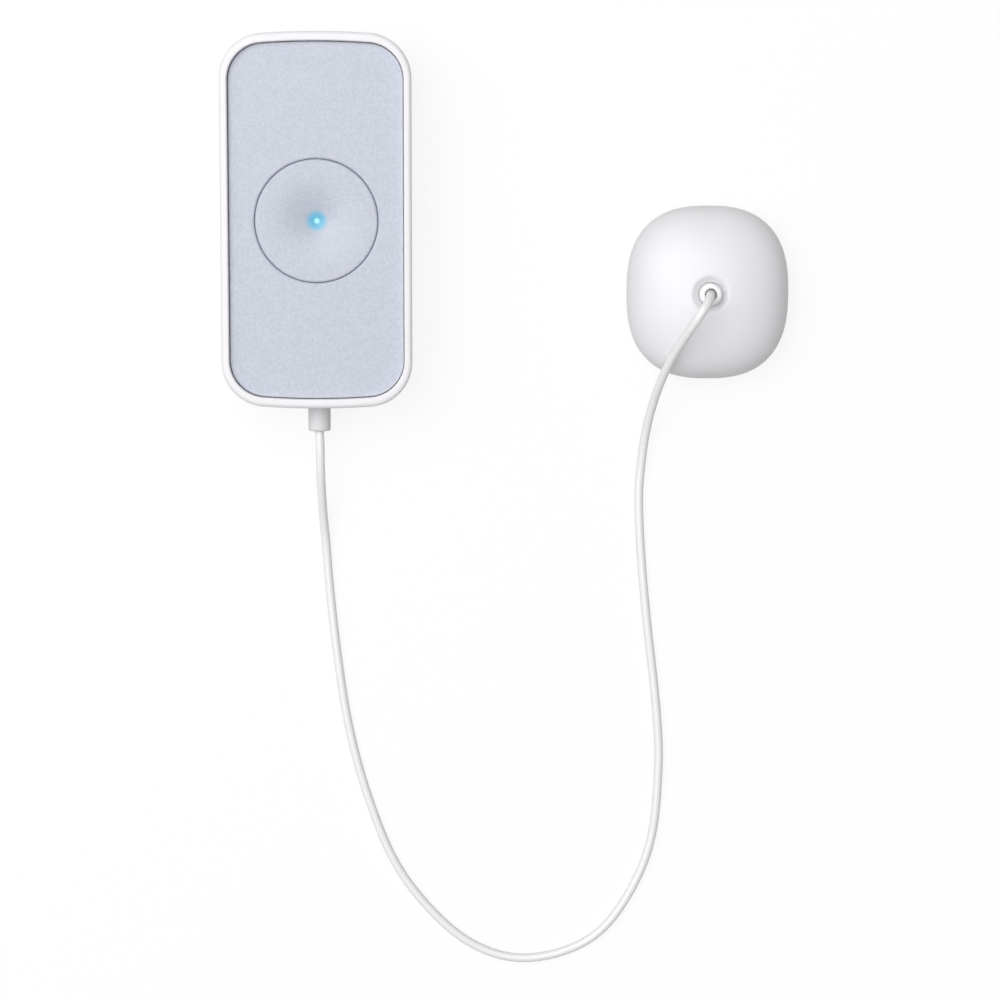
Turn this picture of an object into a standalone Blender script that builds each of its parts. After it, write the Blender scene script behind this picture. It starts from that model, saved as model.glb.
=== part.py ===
"""Wireless water leak sensor: a flat host unit, a probe that stands on the floor, and the thin
cord between them.

Run with: blender --background --python part.py

Metres, +Z up. The host lies on its back with the middle of its back face at the origin, its
button facing up and the cord leaving towards -Y. The probe stands on the same plane, to its right.
"""

import math

import bmesh
import bpy
from mathutils import Matrix, Vector

MM = 0.001

# Clearances between neighbouring pieces
SEAT_GAP = 0.3 * MM
SNUG_GAP = 0.1 * MM
THREAD_GAP = 0.15 * MM
SMALL_ROUND = 0.2 * MM
MERGE = 0.3 * MM  # how far a boss or post is sunk into the wall that it grows from

# Host outline: straight sides, bowed ends, round corners
HOST_WIDTH = 38.4 * MM
HOST_LENGTH = 75.3 * MM
CORNER_RADIUS = 9.0 * MM
END_RADIUS = 155.0 * MM
SIDE_WALL = 1.55 * MM
END_WALL = 1.85 * MM
CASE_DRAFT = math.radians(1.7)  # lean of the outer wall, which is widest at its rim
CORNER_STEPS = 7
BOW_STEPS = 3

# Front frame
RIM_ROUND = 0.9 * MM
PANEL_RECESS = 1.5 * MM
PANEL_THICKNESS = 1.2 * MM
PANEL_SIDE_GAP = 0.3 * MM
LEDGE_REACH = 1.3 * MM
LEDGE_THICKNESS = 1.2 * MM
CASE_BOSS_RADIUS = 2.2 * MM
CASE_BOSS_INSET = 4.8 * MM  # from the outer side and end to the boss's axis

# Rear cover
COVER_EDGE = 2.1 * MM
COVER_FLOOR = 1.6 * MM
COVER_ROUND = 0.6 * MM
LIP_THICKNESS = 1.0 * MM
LIP_HEIGHT = 2.1 * MM

# Screws
SCREW_RADIUS = 0.8 * MM
SCREW_HEAD_RADIUS = 1.5 * MM
SCREW_HEAD_HEIGHT = 0.9 * MM
CASE_SCREW_LENGTH = 6.0 * MM
BOARD_SCREW_LENGTH = 4.0 * MM
PROBE_SCREW_LENGTH = 5.0 * MM
HEAD_SINK = 0.2 * MM  # how far a sunk head stays below its surface

# Press button, with a dished middle
BUTTON_RADIUS = 12.25 * MM
BUTTON_GAP = 0.3 * MM
BUTTON_TRAVEL = 0.5 * MM
DISH_RADIUS = 8.0 * MM
DISH_DEPTH = 1.4 * MM
DISH_STEPS = 7
FLANGE_REACH = 1.5 * MM
FLANGE_THICKNESS = 0.8 * MM
CAP_TOP_WALL = 1.2 * MM
CAP_SIDE_WALL = 1.6 * MM
HUB_RADIUS = 4.5 * MM
HUB_WEB = 0.9 * MM  # material left under the deepest part of the dish
ROUND_SEGMENTS = 48

# Light guide
GUIDE_RADIUS = 1.2 * MM
GUIDE_COLLAR_RADIUS = 2.1 * MM
GUIDE_COLLAR_HEIGHT = 0.7 * MM

# Circuit board and what it carries
BOARD_THICKNESS = 1.0 * MM
BOARD_SIDE_ROOM = 1.0 * MM  # from the frame's side walls to the board
BOARD_END_ROOM = 9.0 * MM  # from the frame's end walls to the board
BOARD_CORNER = 2.0 * MM
POST_RADIUS = 2.1 * MM
POST_INSET = 2.9 * MM  # from the board's edges to a post's axis
LED_SIDE = 1.8 * MM
LED_HEIGHT = 0.6 * MM
SWITCH_SIDE = 6.0 * MM
SWITCH_HEIGHT = 2.0 * MM
SWITCH_Y = -7.0 * MM
PLUNGER_RADIUS = 1.6 * MM
PLUNGER_PROUD = 0.9 * MM
SWITCH_FLOOR = 0.5 * MM
NIB_RADIUS = 1.3 * MM
NIB_LENGTH = 0.8 * MM
SHIELD_WIDTH = 14.0 * MM
SHIELD_LENGTH = 11.0 * MM
SHIELD_HEIGHT = 2.0 * MM
SHIELD_END_ROOM = 3.5 * MM  # from the board's far end to the shield
CHIP_SIDE = 6.0 * MM
CHIP_HEIGHT = 0.9 * MM
CHIP_SIDE_ROOM = 4.5 * MM  # from the board's side to the chip
CHIP_END_ROOM = 10.0 * MM  # from the board's near end to the chip
CONNECTOR_WIDTH = 6.0 * MM
CONNECTOR_LENGTH = 5.0 * MM
CONNECTOR_HEIGHT = 3.6 * MM
CONNECTOR_END_ROOM = 2.5 * MM  # from the board's near end to the connector

# Coin cell and its ring
CELL_HEIGHT = 5.0 * MM
CELL_STEP = 1.1 * MM
CELL_STEP_HEIGHT = 0.5 * MM
CELL_Y = 5.0 * MM
CELL_PAD = 0.3 * MM  # how far the cover's pad rises above its floor
CELL_HEADROOM = 0.8 * MM  # from the cell to the board, for the strip over its face
HOLDER_WALL = 1.4 * MM
HOLDER_SIDE_ROOM = 2.25 * MM  # from the ring to the rear cover's lip
HOLDER_OPENING = math.radians(80)
CONTACT_THICKNESS = 0.25 * MM
CONTACT_WIDTH = 4.0 * MM

# Cord and the sleeve that it leaves the host by
CORD_RADIUS = 0.9 * MM
CORD_BORE_GAP = 0.2 * MM
CORD_BORE_DEPTH = 1.2 * MM
SLEEVE_RADIUS = 2.28 * MM
SLEEVE_END_RADIUS = 2.26 * MM
SLEEVE_LENGTH = 5.15 * MM  # outside the wall
SLEEVE_ROUND = 0.45 * MM
SLEEVE_FLANGE_RADIUS = 3.1 * MM
SLEEVE_FLANGE_THICKNESS = 1.2 * MM
LEAD_RADIUS = 0.45 * MM
LEAD_SPACING = 0.8 * MM  # from the middle to each lead

# Probe
PROBE_X = 79.2 * MM
PROBE_Y = -14.7 * MM
PROBE_WIDTH = 33.0 * MM
PROBE_LENGTH = 35.2 * MM
PROBE_SQUARENESS = 2.55  # power of the plan outline: 2 is an ellipse
PROBE_SIDES = 48
DOME_TOP = 14.7 * MM
DOME_WIDEST = 4.6 * MM
DOME_POWER = 2.3
DOME_STEPS = 8
DOME_TUCK = 1.1 * MM  # how far the foot is drawn in under the widest line
DOME_WALL = 1.7 * MM
PROBE_STANDOFF = 0.9 * MM
MOAT_RADIUS = 3.9 * MM
MOAT_DEPTH = 0.9 * MM
MOAT_STEPS = 5
MOAT_FLOOR = 1.2 * MM
PROBE_BOSS_RADIUS = 2.0 * MM
PROBE_BOSS_INSET = 5.8 * MM  # from the widest line to a boss's axis

# Probe's collar
COLLAR_RADIUS = 2.3 * MM
COLLAR_TOP = 15.8 * MM
COLLAR_ROUND = 0.5 * MM
COLLAR_FLANGE_RADIUS = 3.2 * MM
COLLAR_FLANGE_THICKNESS = 1.0 * MM

# Probe's underside and inner pieces
BASE_THICKNESS = 1.8 * MM
SEAL_WIDTH = 1.0 * MM
SEAL_HEIGHT = 0.6 * MM
BASE_EDGE = 1.0 * MM  # shell wall left outside the base plate
PIN_INSET = 1.6 * MM  # from the probe board's edges to a pin's axis
PIN_FOOT_RADIUS = 1.8 * MM
PIN_FOOT_HEIGHT = 0.6 * MM
PIN_RADIUS = 1.0 * MM
PIN_LENGTH = 5.2 * MM
PROBE_BOARD_SIDE_ROOM = 0.6 * MM  # from the screw bosses to the board
PROBE_BOARD_END_ROOM = 8.5 * MM  # from the ends of the outline to the board
LEAD_SPREAD = 2.6 * MM

# The cord's route in millimetres: out of the sleeve, down to the floor, round in a long U and
# over the dome's shoulder into the collar
CORD_ROUTE_MM = (
    (0.1, -46.5, 7.9),
    (0.1, -51.0, 7.2),
    (0.2, -56.0, 5.3),
    (0.4, -61.5, 2.9),
    (0.8, -67.0, 1.4),
    (1.5, -76.6, 0.95),
    (3.0, -90.5, 0.95),
    (5.1, -104.5, 0.95),
    (8.6, -118.5, 0.95),
    (14.0, -132.8, 0.95),
    (20.6, -142.7, 0.95),
    (29.6, -151.1, 0.95),
    (39.6, -154.9, 0.95),
    (50.1, -153.6, 0.95),
    (58.6, -148.5, 0.95),
    (65.2, -138.7, 0.95),
    (68.8, -128.0, 0.95),
    (70.0, -114.0, 0.95),
    (69.7, -104.5, 0.95),
    (68.8, -95.2, 0.95),
    (67.2, -81.3, 0.95),
    (66.0, -67.4, 0.95),
    (65.6, -57.0, 1.0),
    (66.1, -49.6, 1.5),
    (66.9, -43.4, 3.1),
    (68.1, -37.7, 6.0),
    (69.6, -32.5, 9.8),
    (71.5, -27.7, 13.6),
    (73.6, -23.8, 17.0),
    (75.6, -20.5, 19.7),
    (77.0, -18.2, 20.5),
    (78.3, -16.2, 19.7),
    (79.0, -15.1, 18.0),
    (79.2, -14.7, 16.2),
)
CORD_SPACING = 5.5 * MM
CORD_TURN = math.radians(36)
LEAD_POINT_SPACING = 2.5 * MM

# Heights of the host, stacked from its back to its rim
PARTING = COVER_EDGE + SEAT_GAP
CELL_BASE = COVER_FLOOR + CELL_PAD + SEAT_GAP
CELL_TOP = CELL_BASE + CELL_HEIGHT
BOARD_UNDERSIDE = CELL_TOP + CELL_HEADROOM
BOARD_TOP = BOARD_UNDERSIDE + BOARD_THICKNESS
LED_TOP = BOARD_TOP + SEAT_GAP + LED_HEIGHT
SWITCH_BASE = BOARD_TOP + SEAT_GAP
SWITCH_TOP = SWITCH_BASE + SWITCH_HEIGHT
PLUNGER_TOP = SWITCH_TOP + PLUNGER_PROUD
NIB_END = PLUNGER_TOP + SEAT_GAP
CAP_CEILING = NIB_END + NIB_LENGTH
PANEL_TOP = CAP_CEILING + CAP_TOP_WALL
HUB_END = PANEL_TOP - DISH_DEPTH - HUB_WEB
PANEL_UNDERSIDE = PANEL_TOP - PANEL_THICKNESS
LEDGE_TOP = PANEL_UNDERSIDE - SEAT_GAP
LEDGE_UNDERSIDE = LEDGE_TOP - LEDGE_THICKNESS
FLANGE_TOP = PANEL_UNDERSIDE - SEAT_GAP
FLANGE_UNDERSIDE = FLANGE_TOP - FLANGE_THICKNESS
HOST_DEPTH = PANEL_TOP + PANEL_RECESS
CORD_HEIGHT = HOST_DEPTH / 2

# Plan sizes of the host's cell and board, and places on the board
LIP_INNER = HOST_WIDTH / 2 - SIDE_WALL - SEAT_GAP - LIP_THICKNESS
CELL_RADIUS = LIP_INNER - HOLDER_SIDE_ROOM - HOLDER_WALL - SEAT_GAP
BOARD_WIDTH = HOST_WIDTH - 2 * (SIDE_WALL + BOARD_SIDE_ROOM)
BOARD_LENGTH = HOST_LENGTH - 2 * (END_WALL + BOARD_END_ROOM)
POST_X = BOARD_WIDTH / 2 - POST_INSET
POST_Y = BOARD_LENGTH / 2 - POST_INSET
SHIELD_Y = BOARD_LENGTH / 2 - SHIELD_END_ROOM - SHIELD_LENGTH / 2
CHIP_X = -BOARD_WIDTH / 2 + CHIP_SIDE_ROOM + CHIP_SIDE / 2
CHIP_Y = -BOARD_LENGTH / 2 + CHIP_END_ROOM + CHIP_SIDE / 2
CONNECTOR_Y = -BOARD_LENGTH / 2 + CONNECTOR_END_ROOM + CONNECTOR_LENGTH / 2
BORE_RADIUS = CORD_RADIUS + CORD_BORE_GAP
SLEEVE_END_Y = -HOST_LENGTH / 2 - SLEEVE_LENGTH

# Heights of the probe, and places in it
PROBE_PLACE = Vector((PROBE_X, PROBE_Y, 0))
DOME_FLOOR = DOME_TOP - MOAT_DEPTH
DOME_CEILING = DOME_FLOOR - MOAT_FLOOR
BASE_TOP = PROBE_STANDOFF + BASE_THICKNESS
SEAL_BASE = BASE_TOP + SEAT_GAP
SEAL_LEDGE = SEAL_BASE + SEAL_HEIGHT + SEAT_GAP
PROBE_BOARD_UNDERSIDE = PIN_LENGTH + SEAT_GAP
PROBE_BOSS_X = PROBE_WIDTH / 2 - PROBE_BOSS_INSET
PROBE_BOARD_WIDTH = 2 * (PROBE_BOSS_X - PROBE_BOSS_RADIUS - PROBE_BOARD_SIDE_ROOM)
PROBE_BOARD_LENGTH = PROBE_LENGTH - 2 * PROBE_BOARD_END_ROOM
PIN_X = PROBE_BOARD_WIDTH / 2 - PIN_INSET
PIN_Y = PROBE_BOARD_LENGTH / 2 - PIN_INSET

COLOURS = {
    "white_plastic": ((0.90, 0.90, 0.91), 0.38, 0.0),
    "panel_satin": ((0.60, 0.64, 0.74), 0.45, 0.0),
    "clear_blue": ((0.20, 0.72, 1.00), 0.20, 0.0),
    "soft_white": ((0.78, 0.78, 0.79), 0.60, 0.0),
    "board_green": ((0.03, 0.20, 0.09), 0.50, 0.0),
    "black_plastic": ((0.03, 0.03, 0.035), 0.45, 0.0),
    "steel": ((0.62, 0.62, 0.60), 0.28, 1.0),
    "gold": ((0.80, 0.60, 0.28), 0.25, 1.0),
    "red_lead": ((0.60, 0.05, 0.04), 0.50, 0.0),
}


def clear_scene():
    """Remove what the file opened with."""
    for item in list(bpy.data.objects):
        bpy.data.objects.remove(item, do_unlink=True)


def make_material(name, look):
    """A Principled material for one piece, from a named look."""
    colour, roughness, metallic = COLOURS[look]
    material = bpy.data.materials.new(f"{name}_finish")
    material.use_nodes = True
    shader = material.node_tree.nodes["Principled BSDF"]
    shader.inputs["Base Color"].default_value = (*colour, 1.0)
    shader.inputs["Roughness"].default_value = roughness
    shader.inputs["Metallic"].default_value = metallic
    return material


def add_group(name, place):
    """An empty that carries the pieces of one assembly."""
    group = bpy.data.objects.new(name, None)
    group.location = place
    bpy.context.scene.collection.objects.link(group)
    return group


def add_object(name, bm, parent, place=(0, 0, 0)):
    """Turn a bmesh into a closed, outward-facing object under its assembly."""
    bmesh.ops.recalc_face_normals(bm, faces=bm.faces)
    mesh = bpy.data.meshes.new(name)
    bm.to_mesh(mesh)
    bm.free()
    item = bpy.data.objects.new(name, mesh)
    item.parent = parent
    item.location = place
    bpy.context.scene.collection.objects.link(item)
    return item


def finish_piece(item, look):
    """Give a piece its material and its shading."""
    item.data.materials.append(make_material(item.name, look))
    item.data.shade_smooth()
    item.data.set_sharp_from_angle(angle=math.radians(35))
    return item


def add_tool(name, bm, parent, place=(0, 0, 0)):
    """A shape that only cuts or joins another, hidden from the finished model."""
    tool = add_object(name, bm, parent, place)
    tool.hide_render = True
    tool.display_type = "WIRE"
    return tool


def combine(item, tool, operation):
    """Cut a tool shape out of a piece, or join it on."""
    step = item.modifiers.new(tool.name, "BOOLEAN")
    step.operation = operation
    step.solver = "EXACT"
    step.object = tool


def spread(start, end, steps):
    """Evenly spaced values from start to end, both included."""
    return [start + (end - start) * i / steps for i in range(steps + 1)]


def loft(rings, closed=False):
    """A bmesh skinned over rings of equal length. A closed loft returns to its first ring, and an
    open one is capped at both ends."""
    bm = bmesh.new()
    loops = [[bm.verts.new(point) for point in ring] for ring in rings]
    pairs = list(zip(loops, loops[1:]))
    if closed:
        pairs.append((loops[-1], loops[0]))
    else:
        bm.faces.new(loops[0])
        bm.faces.new(loops[-1])
    for low, high in pairs:
        for i in range(len(low)):
            j = (i + 1) % len(low)
            bm.faces.new((low[i], low[j], high[j], high[i]))
    return bm


def revolve(profile, segments, closed=False):
    """A bmesh turned about Z from (radius, height) points. An open profile starts and ends on the
    axis, where radius is 0."""
    bm = bmesh.new()
    turns = [2 * math.pi * i / segments for i in range(segments)]
    loops = []
    for radius, height in profile:
        if radius == 0:
            loops.append([bm.verts.new((0, 0, height))])
        else:
            loops.append([bm.verts.new((radius * math.cos(a), radius * math.sin(a), height)) for a in turns])
    pairs = list(zip(loops, loops[1:]))
    if closed:
        pairs.append((loops[-1], loops[0]))
    for low, high in pairs:
        for i in range(segments):
            j = (i + 1) % segments
            corners = [low[i % len(low)], low[j % len(low)], high[j % len(high)], high[i % len(high)]]
            bm.faces.new(dict.fromkeys(corners))
    return bm


def posts(places, radius, bottom, top, segments=16):
    """A bmesh of upright cylinders at (x, y) places."""
    bm = bmesh.new()
    for x, y in places:
        middle = Matrix.Translation((x, y, (bottom + top) / 2))
        bmesh.ops.create_cone(
            bm, cap_ends=True, segments=segments, radius1=radius, radius2=radius, depth=top - bottom, matrix=middle
        )
    return bm


def rounded_box(size, edge):
    """A bmesh box on z = 0 with its upright and top edges rounded."""
    bm = bmesh.new()
    middle = Matrix.Translation((0, 0, size.z / 2)) @ Matrix.Diagonal((*size, 1))
    bmesh.ops.create_cube(bm, size=1.0, matrix=middle)
    edges = [e for e in bm.edges if any(v.co.z > size.z / 2 for v in e.verts)]
    bmesh.ops.bevel(bm, geom=edges, offset=edge, segments=2, affect="EDGES")
    return bm


def plate(width, length, corner, thickness):
    """A bmesh plate on z = 0 with four round corners."""
    outline = []
    for quarter, (sx, sy) in enumerate(((1, 1), (-1, 1), (-1, -1), (1, -1))):
        start = quarter * math.pi / 2
        for a in spread(start, start + math.pi / 2, 4):
            x = sx * (width / 2 - corner) + corner * math.cos(a)
            y = sy * (length / 2 - corner) + corner * math.sin(a)
            outline.append((x, y))
    return loft([[Vector((x, y, z)) for x, y in outline] for z in (0, thickness)])


def quarter_round(radius, steps=3):
    """(drawn in, raised) pairs of an edge that turns from upright to level."""
    return [(radius * (1 - math.cos(a)), radius * math.sin(a)) for a in spread(0, math.pi / 2, steps)]


def host_outline(side_inset, end_inset):
    """The host's plan outline, drawn in by its insets. Each corner arc is tangent to the straight
    side and to the shallow arc of the end, so that the outline has no kink."""
    half_width = HOST_WIDTH / 2 - side_inset
    half_length = HOST_LENGTH / 2 - end_inset
    corner = CORNER_RADIUS - side_inset
    end_radius = END_RADIUS - end_inset
    bow_centre = half_length - end_radius
    across = half_width - corner
    reach = math.sqrt((end_radius - corner) ** 2 - across**2)
    handover = math.atan2(reach, across)
    right = [
        (across + corner * math.cos(a), bow_centre + reach + corner * math.sin(a))
        for a in spread(0, handover, CORNER_STEPS)
    ]
    right += [
        (end_radius * math.cos(a), bow_centre + end_radius * math.sin(a))
        for a in spread(handover, math.pi / 2, BOW_STEPS)[1:]
    ]
    left = [(-x, y) for x, y in reversed(right[:-1])]
    return right + left + [(-x, -y) for x, y in right + left]


def host_ring(height, inset=0.0, walls=0):
    """The host's outline at a height, inside a number of wall thicknesses and an extra inset."""
    outline = host_outline(walls * SIDE_WALL + inset, walls * END_WALL + inset)
    return [Vector((x, y, height)) for x, y in outline]


def case_ring(height, inset=0.0):
    """The host's outer wall at a height. It leans in towards the back, below the rim's rounding."""
    lean = max(0.0, HOST_DEPTH - RIM_ROUND - height) * math.tan(CASE_DRAFT)
    return host_ring(height, lean + inset)


def four_places(x, y):
    """One place in each quarter of the plan."""
    return [(sx * x, sy * y) for sx in (1, -1) for sy in (1, -1)]


def case_boss_places():
    """Axes of the frame's four corner bosses."""
    return four_places(HOST_WIDTH / 2 - CASE_BOSS_INSET, HOST_LENGTH / 2 - CASE_BOSS_INSET)


def board_screw_places():
    """The two posts, corner to corner, that the board is screwed to."""
    return [(POST_X, POST_Y), (-POST_X, -POST_Y)]


def build_front_bezel(host):
    """Frame and side wall in one moulding, with a ledge for the panel, four screw bosses and the
    hole that the cord's sleeve passes through."""
    outer_top = [case_ring(HOST_DEPTH - RIM_ROUND + up, inset) for inset, up in quarter_round(RIM_ROUND)]
    rings = [
        case_ring(PARTING, SMALL_ROUND),
        case_ring(PARTING + SMALL_ROUND),
        *outer_top,
        host_ring(HOST_DEPTH, -SMALL_ROUND, walls=1),
        host_ring(HOST_DEPTH - SMALL_ROUND, walls=1),
        host_ring(LEDGE_TOP, walls=1),
        host_ring(LEDGE_TOP, LEDGE_REACH, walls=1),
        host_ring(LEDGE_UNDERSIDE, LEDGE_REACH, walls=1),
        host_ring(LEDGE_UNDERSIDE, walls=1),
        host_ring(PARTING, walls=1),
    ]
    bezel = add_object("front_bezel", loft(rings, closed=True), host)
    bosses = posts(case_boss_places(), CASE_BOSS_RADIUS, PARTING + MERGE, LEDGE_UNDERSIDE + MERGE)
    combine(bezel, add_tool("bezel_bosses", bosses, host), "UNION")
    pilots = posts(case_boss_places(), SCREW_RADIUS + THREAD_GAP, 0, LEDGE_UNDERSIDE - MERGE)
    combine(bezel, add_tool("bezel_pilots", pilots, host), "DIFFERENCE")
    hole = posts([(0, 0)], SLEEVE_RADIUS + SEAT_GAP, -2 * END_WALL, 2 * END_WALL, 24)
    cutter = add_tool("sleeve_hole", hole, host, (0, -HOST_LENGTH / 2, CORD_HEIGHT))
    cutter.rotation_euler = (math.pi / 2, 0, 0)
    combine(bezel, cutter, "DIFFERENCE")
    finish_piece(bezel, "white_plastic")


def build_rear_cover(host):
    """Shallow tray that closes the back: a lip inside the frame, posts for the board, a pad under
    the coin cell and sunk holes for the case screws."""
    rings = [
        *[case_ring(COVER_ROUND - up, inset) for inset, up in reversed(quarter_round(COVER_ROUND))],
        case_ring(COVER_EDGE - SMALL_ROUND),
        case_ring(COVER_EDGE, SMALL_ROUND),
        host_ring(COVER_EDGE, SEAT_GAP, walls=1),
        host_ring(COVER_EDGE + LIP_HEIGHT, SEAT_GAP, walls=1),
        host_ring(COVER_EDGE + LIP_HEIGHT, SEAT_GAP + LIP_THICKNESS, walls=1),
        host_ring(COVER_FLOOR, SEAT_GAP + LIP_THICKNESS, walls=1),
    ]
    cover = add_object("rear_cover", loft(rings), host)
    rooms = posts(case_boss_places(), CASE_BOSS_RADIUS + SEAT_GAP, COVER_EDGE, COVER_EDGE + 2 * LIP_HEIGHT)
    combine(cover, add_tool("boss_rooms", rooms, host), "DIFFERENCE")
    raised = posts(four_places(POST_X, POST_Y), POST_RADIUS, COVER_FLOOR - MERGE, BOARD_UNDERSIDE - SEAT_GAP)
    combine(cover, add_tool("board_posts", raised, host), "UNION")
    pad_radius = CELL_RADIUS - 2 * CELL_STEP
    pad = posts([(0, CELL_Y)], pad_radius, COVER_FLOOR - MERGE, COVER_FLOOR + CELL_PAD, 24)
    combine(cover, add_tool("cell_pad", pad, host), "UNION")
    pilots = posts(board_screw_places(), SCREW_RADIUS + THREAD_GAP, COVER_FLOOR + MERGE, BOARD_UNDERSIDE, 12)
    combine(cover, add_tool("post_pilots", pilots, host), "DIFFERENCE")
    holes = posts(case_boss_places(), SCREW_RADIUS + THREAD_GAP, -MERGE, 2 * COVER_EDGE, 12)
    combine(cover, add_tool("case_screw_holes", holes, host), "DIFFERENCE")
    sinks = posts(case_boss_places(), SCREW_HEAD_RADIUS + SEAT_GAP, -MERGE, screw_seat() + SEAT_GAP)
    combine(cover, add_tool("case_screw_sinks", sinks, host), "DIFFERENCE")
    finish_piece(cover, "white_plastic")


def screw_seat():
    """How far the underside of a sunk screw head lies inside the surface that it is sunk in."""
    return HEAD_SINK + SCREW_HEAD_HEIGHT


def build_front_panel(host):
    """Satin plate that drops into the frame, with the round opening for the button."""
    rings = [
        host_ring(PANEL_UNDERSIDE, PANEL_SIDE_GAP, walls=1),
        host_ring(PANEL_TOP - SMALL_ROUND, PANEL_SIDE_GAP, walls=1),
        host_ring(PANEL_TOP, PANEL_SIDE_GAP + SMALL_ROUND, walls=1),
    ]
    panel = add_object("front_panel", loft(rings), host)
    opening = posts([(0, 0)], BUTTON_RADIUS + BUTTON_GAP, PANEL_UNDERSIDE - MERGE, PANEL_TOP + MERGE, ROUND_SEGMENTS)
    combine(panel, add_tool("button_opening", opening, host), "DIFFERENCE")
    finish_piece(panel, "panel_satin")


def dish_height(radius):
    """Height of the button's face below its rim: a bell-shaped hollow with no edge, steepest a
    third of the way out."""
    if radius >= DISH_RADIUS:
        return 0.0
    return -DISH_DEPTH * ((1 + math.cos(math.pi * radius / DISH_RADIUS)) / 2) ** 2


def build_button(button):
    """Dished press button with its retaining flange, the nib over the switch, the light guide in
    its middle, and the switch's plunger, which all travel together. Heights are from its face."""
    guide_hole = GUIDE_RADIUS + SNUG_GAP
    ceiling = CAP_CEILING - PANEL_TOP
    hub_end = HUB_END - PANEL_TOP
    dish = [(r, dish_height(r)) for r in spread(DISH_RADIUS, guide_hole, DISH_STEPS)]
    rim = [(BUTTON_RADIUS - inset, up - SMALL_ROUND) for inset, up in quarter_round(SMALL_ROUND, 2)]
    flange = BUTTON_RADIUS + FLANGE_REACH
    profile = [
        (BUTTON_RADIUS - CAP_SIDE_WALL, FLANGE_UNDERSIDE - PANEL_TOP),
        (flange, FLANGE_UNDERSIDE - PANEL_TOP),
        (flange, FLANGE_TOP - PANEL_TOP),
        (BUTTON_RADIUS, FLANGE_TOP - PANEL_TOP),
        *rim,
        *dish,
        (guide_hole, hub_end),
        (HUB_RADIUS, hub_end),
        (HUB_RADIUS, ceiling),
        (BUTTON_RADIUS - CAP_SIDE_WALL, ceiling),
    ]
    cap = add_object("button_cap", revolve(profile, ROUND_SEGMENTS, closed=True), button)
    nib = posts([(0, SWITCH_Y)], NIB_RADIUS, NIB_END - PANEL_TOP, ceiling + MERGE, 16)
    combine(cap, add_tool("button_nib", nib, button), "UNION")
    finish_piece(cap, "panel_satin")

    face = dish_height(guide_hole)
    collar_top = hub_end - SNUG_GAP
    guide_end = LED_TOP + BUTTON_TRAVEL + SEAT_GAP - PANEL_TOP
    guide_profile = [
        (0, guide_end),
        (GUIDE_RADIUS, guide_end),
        (GUIDE_RADIUS, collar_top - GUIDE_COLLAR_HEIGHT),
        (GUIDE_COLLAR_RADIUS, collar_top - GUIDE_COLLAR_HEIGHT),
        (GUIDE_COLLAR_RADIUS, collar_top),
        (GUIDE_RADIUS, collar_top),
        (GUIDE_RADIUS, face - SNUG_GAP),
        (GUIDE_RADIUS - SNUG_GAP, face),
        (0, face),
    ]
    guide = add_object("light_guide", revolve(guide_profile, 24), button)
    finish_piece(guide, "clear_blue")

    plunger_profile = [
        (0, plunger_foot() - PANEL_TOP),
        (PLUNGER_RADIUS, plunger_foot() - PANEL_TOP),
        (PLUNGER_RADIUS, PLUNGER_TOP - SMALL_ROUND - PANEL_TOP),
        (PLUNGER_RADIUS - SMALL_ROUND, PLUNGER_TOP - PANEL_TOP),
        (0, PLUNGER_TOP - PANEL_TOP),
    ]
    plunger = add_object("switch_plunger", revolve(plunger_profile, 20), button, (0, SWITCH_Y, 0))
    finish_piece(plunger, "black_plastic")


def plunger_foot():
    """Height of the plunger's lower end at rest: clear of the switch's floor when pressed."""
    return SWITCH_BASE + SWITCH_FLOOR + BUTTON_TRAVEL + SEAT_GAP


def build_circuit_board(host):
    """Circuit board on the cover's posts, with the parts soldered to it."""
    board = add_object(
        "circuit_board",
        plate(BOARD_WIDTH, BOARD_LENGTH, BOARD_CORNER, BOARD_THICKNESS),
        host,
        (0, 0, BOARD_UNDERSIDE),
    )
    holes = posts(
        board_screw_places(), SCREW_RADIUS + THREAD_GAP, BOARD_UNDERSIDE - MERGE, BOARD_TOP + MERGE, 12
    )
    combine(board, add_tool("board_holes", holes, host), "DIFFERENCE")
    finish_piece(board, "board_green")

    led_size = Vector((LED_SIDE, LED_SIDE, LED_HEIGHT))
    shield_size = Vector((SHIELD_WIDTH, SHIELD_LENGTH, SHIELD_HEIGHT))
    chip_size = Vector((CHIP_SIDE, CHIP_SIDE, CHIP_HEIGHT))
    on_top = BOARD_TOP + SEAT_GAP
    chips = (
        ("status_led", led_size, (0, 0, on_top), "clear_blue"),
        ("radio_shield", shield_size, (0, SHIELD_Y, on_top), "steel"),
        ("controller_chip", chip_size, (CHIP_X, CHIP_Y, on_top), "black_plastic"),
    )
    for name, size, place, look in chips:
        chip = add_object(name, rounded_box(size, SMALL_ROUND), host, place)
        finish_piece(chip, look)

    size = Vector((SWITCH_SIDE, SWITCH_SIDE, SWITCH_HEIGHT))
    switch = add_object("switch_housing", rounded_box(size, SMALL_ROUND), host, (0, SWITCH_Y, SWITCH_BASE))
    well = posts(
        [(0, SWITCH_Y)], PLUNGER_RADIUS + SEAT_GAP, SWITCH_BASE + SWITCH_FLOOR, SWITCH_TOP + MERGE
    )
    combine(switch, add_tool("switch_well", well, host), "DIFFERENCE")
    finish_piece(switch, "black_plastic")

    size = Vector((CONNECTOR_WIDTH, CONNECTOR_LENGTH, CONNECTOR_HEIGHT))
    base = BOARD_UNDERSIDE - SEAT_GAP - CONNECTOR_HEIGHT
    connector = add_object("lead_connector", rounded_box(size, SMALL_ROUND), host, (0, CONNECTOR_Y, base))
    finish_piece(connector, "white_plastic")


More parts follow.
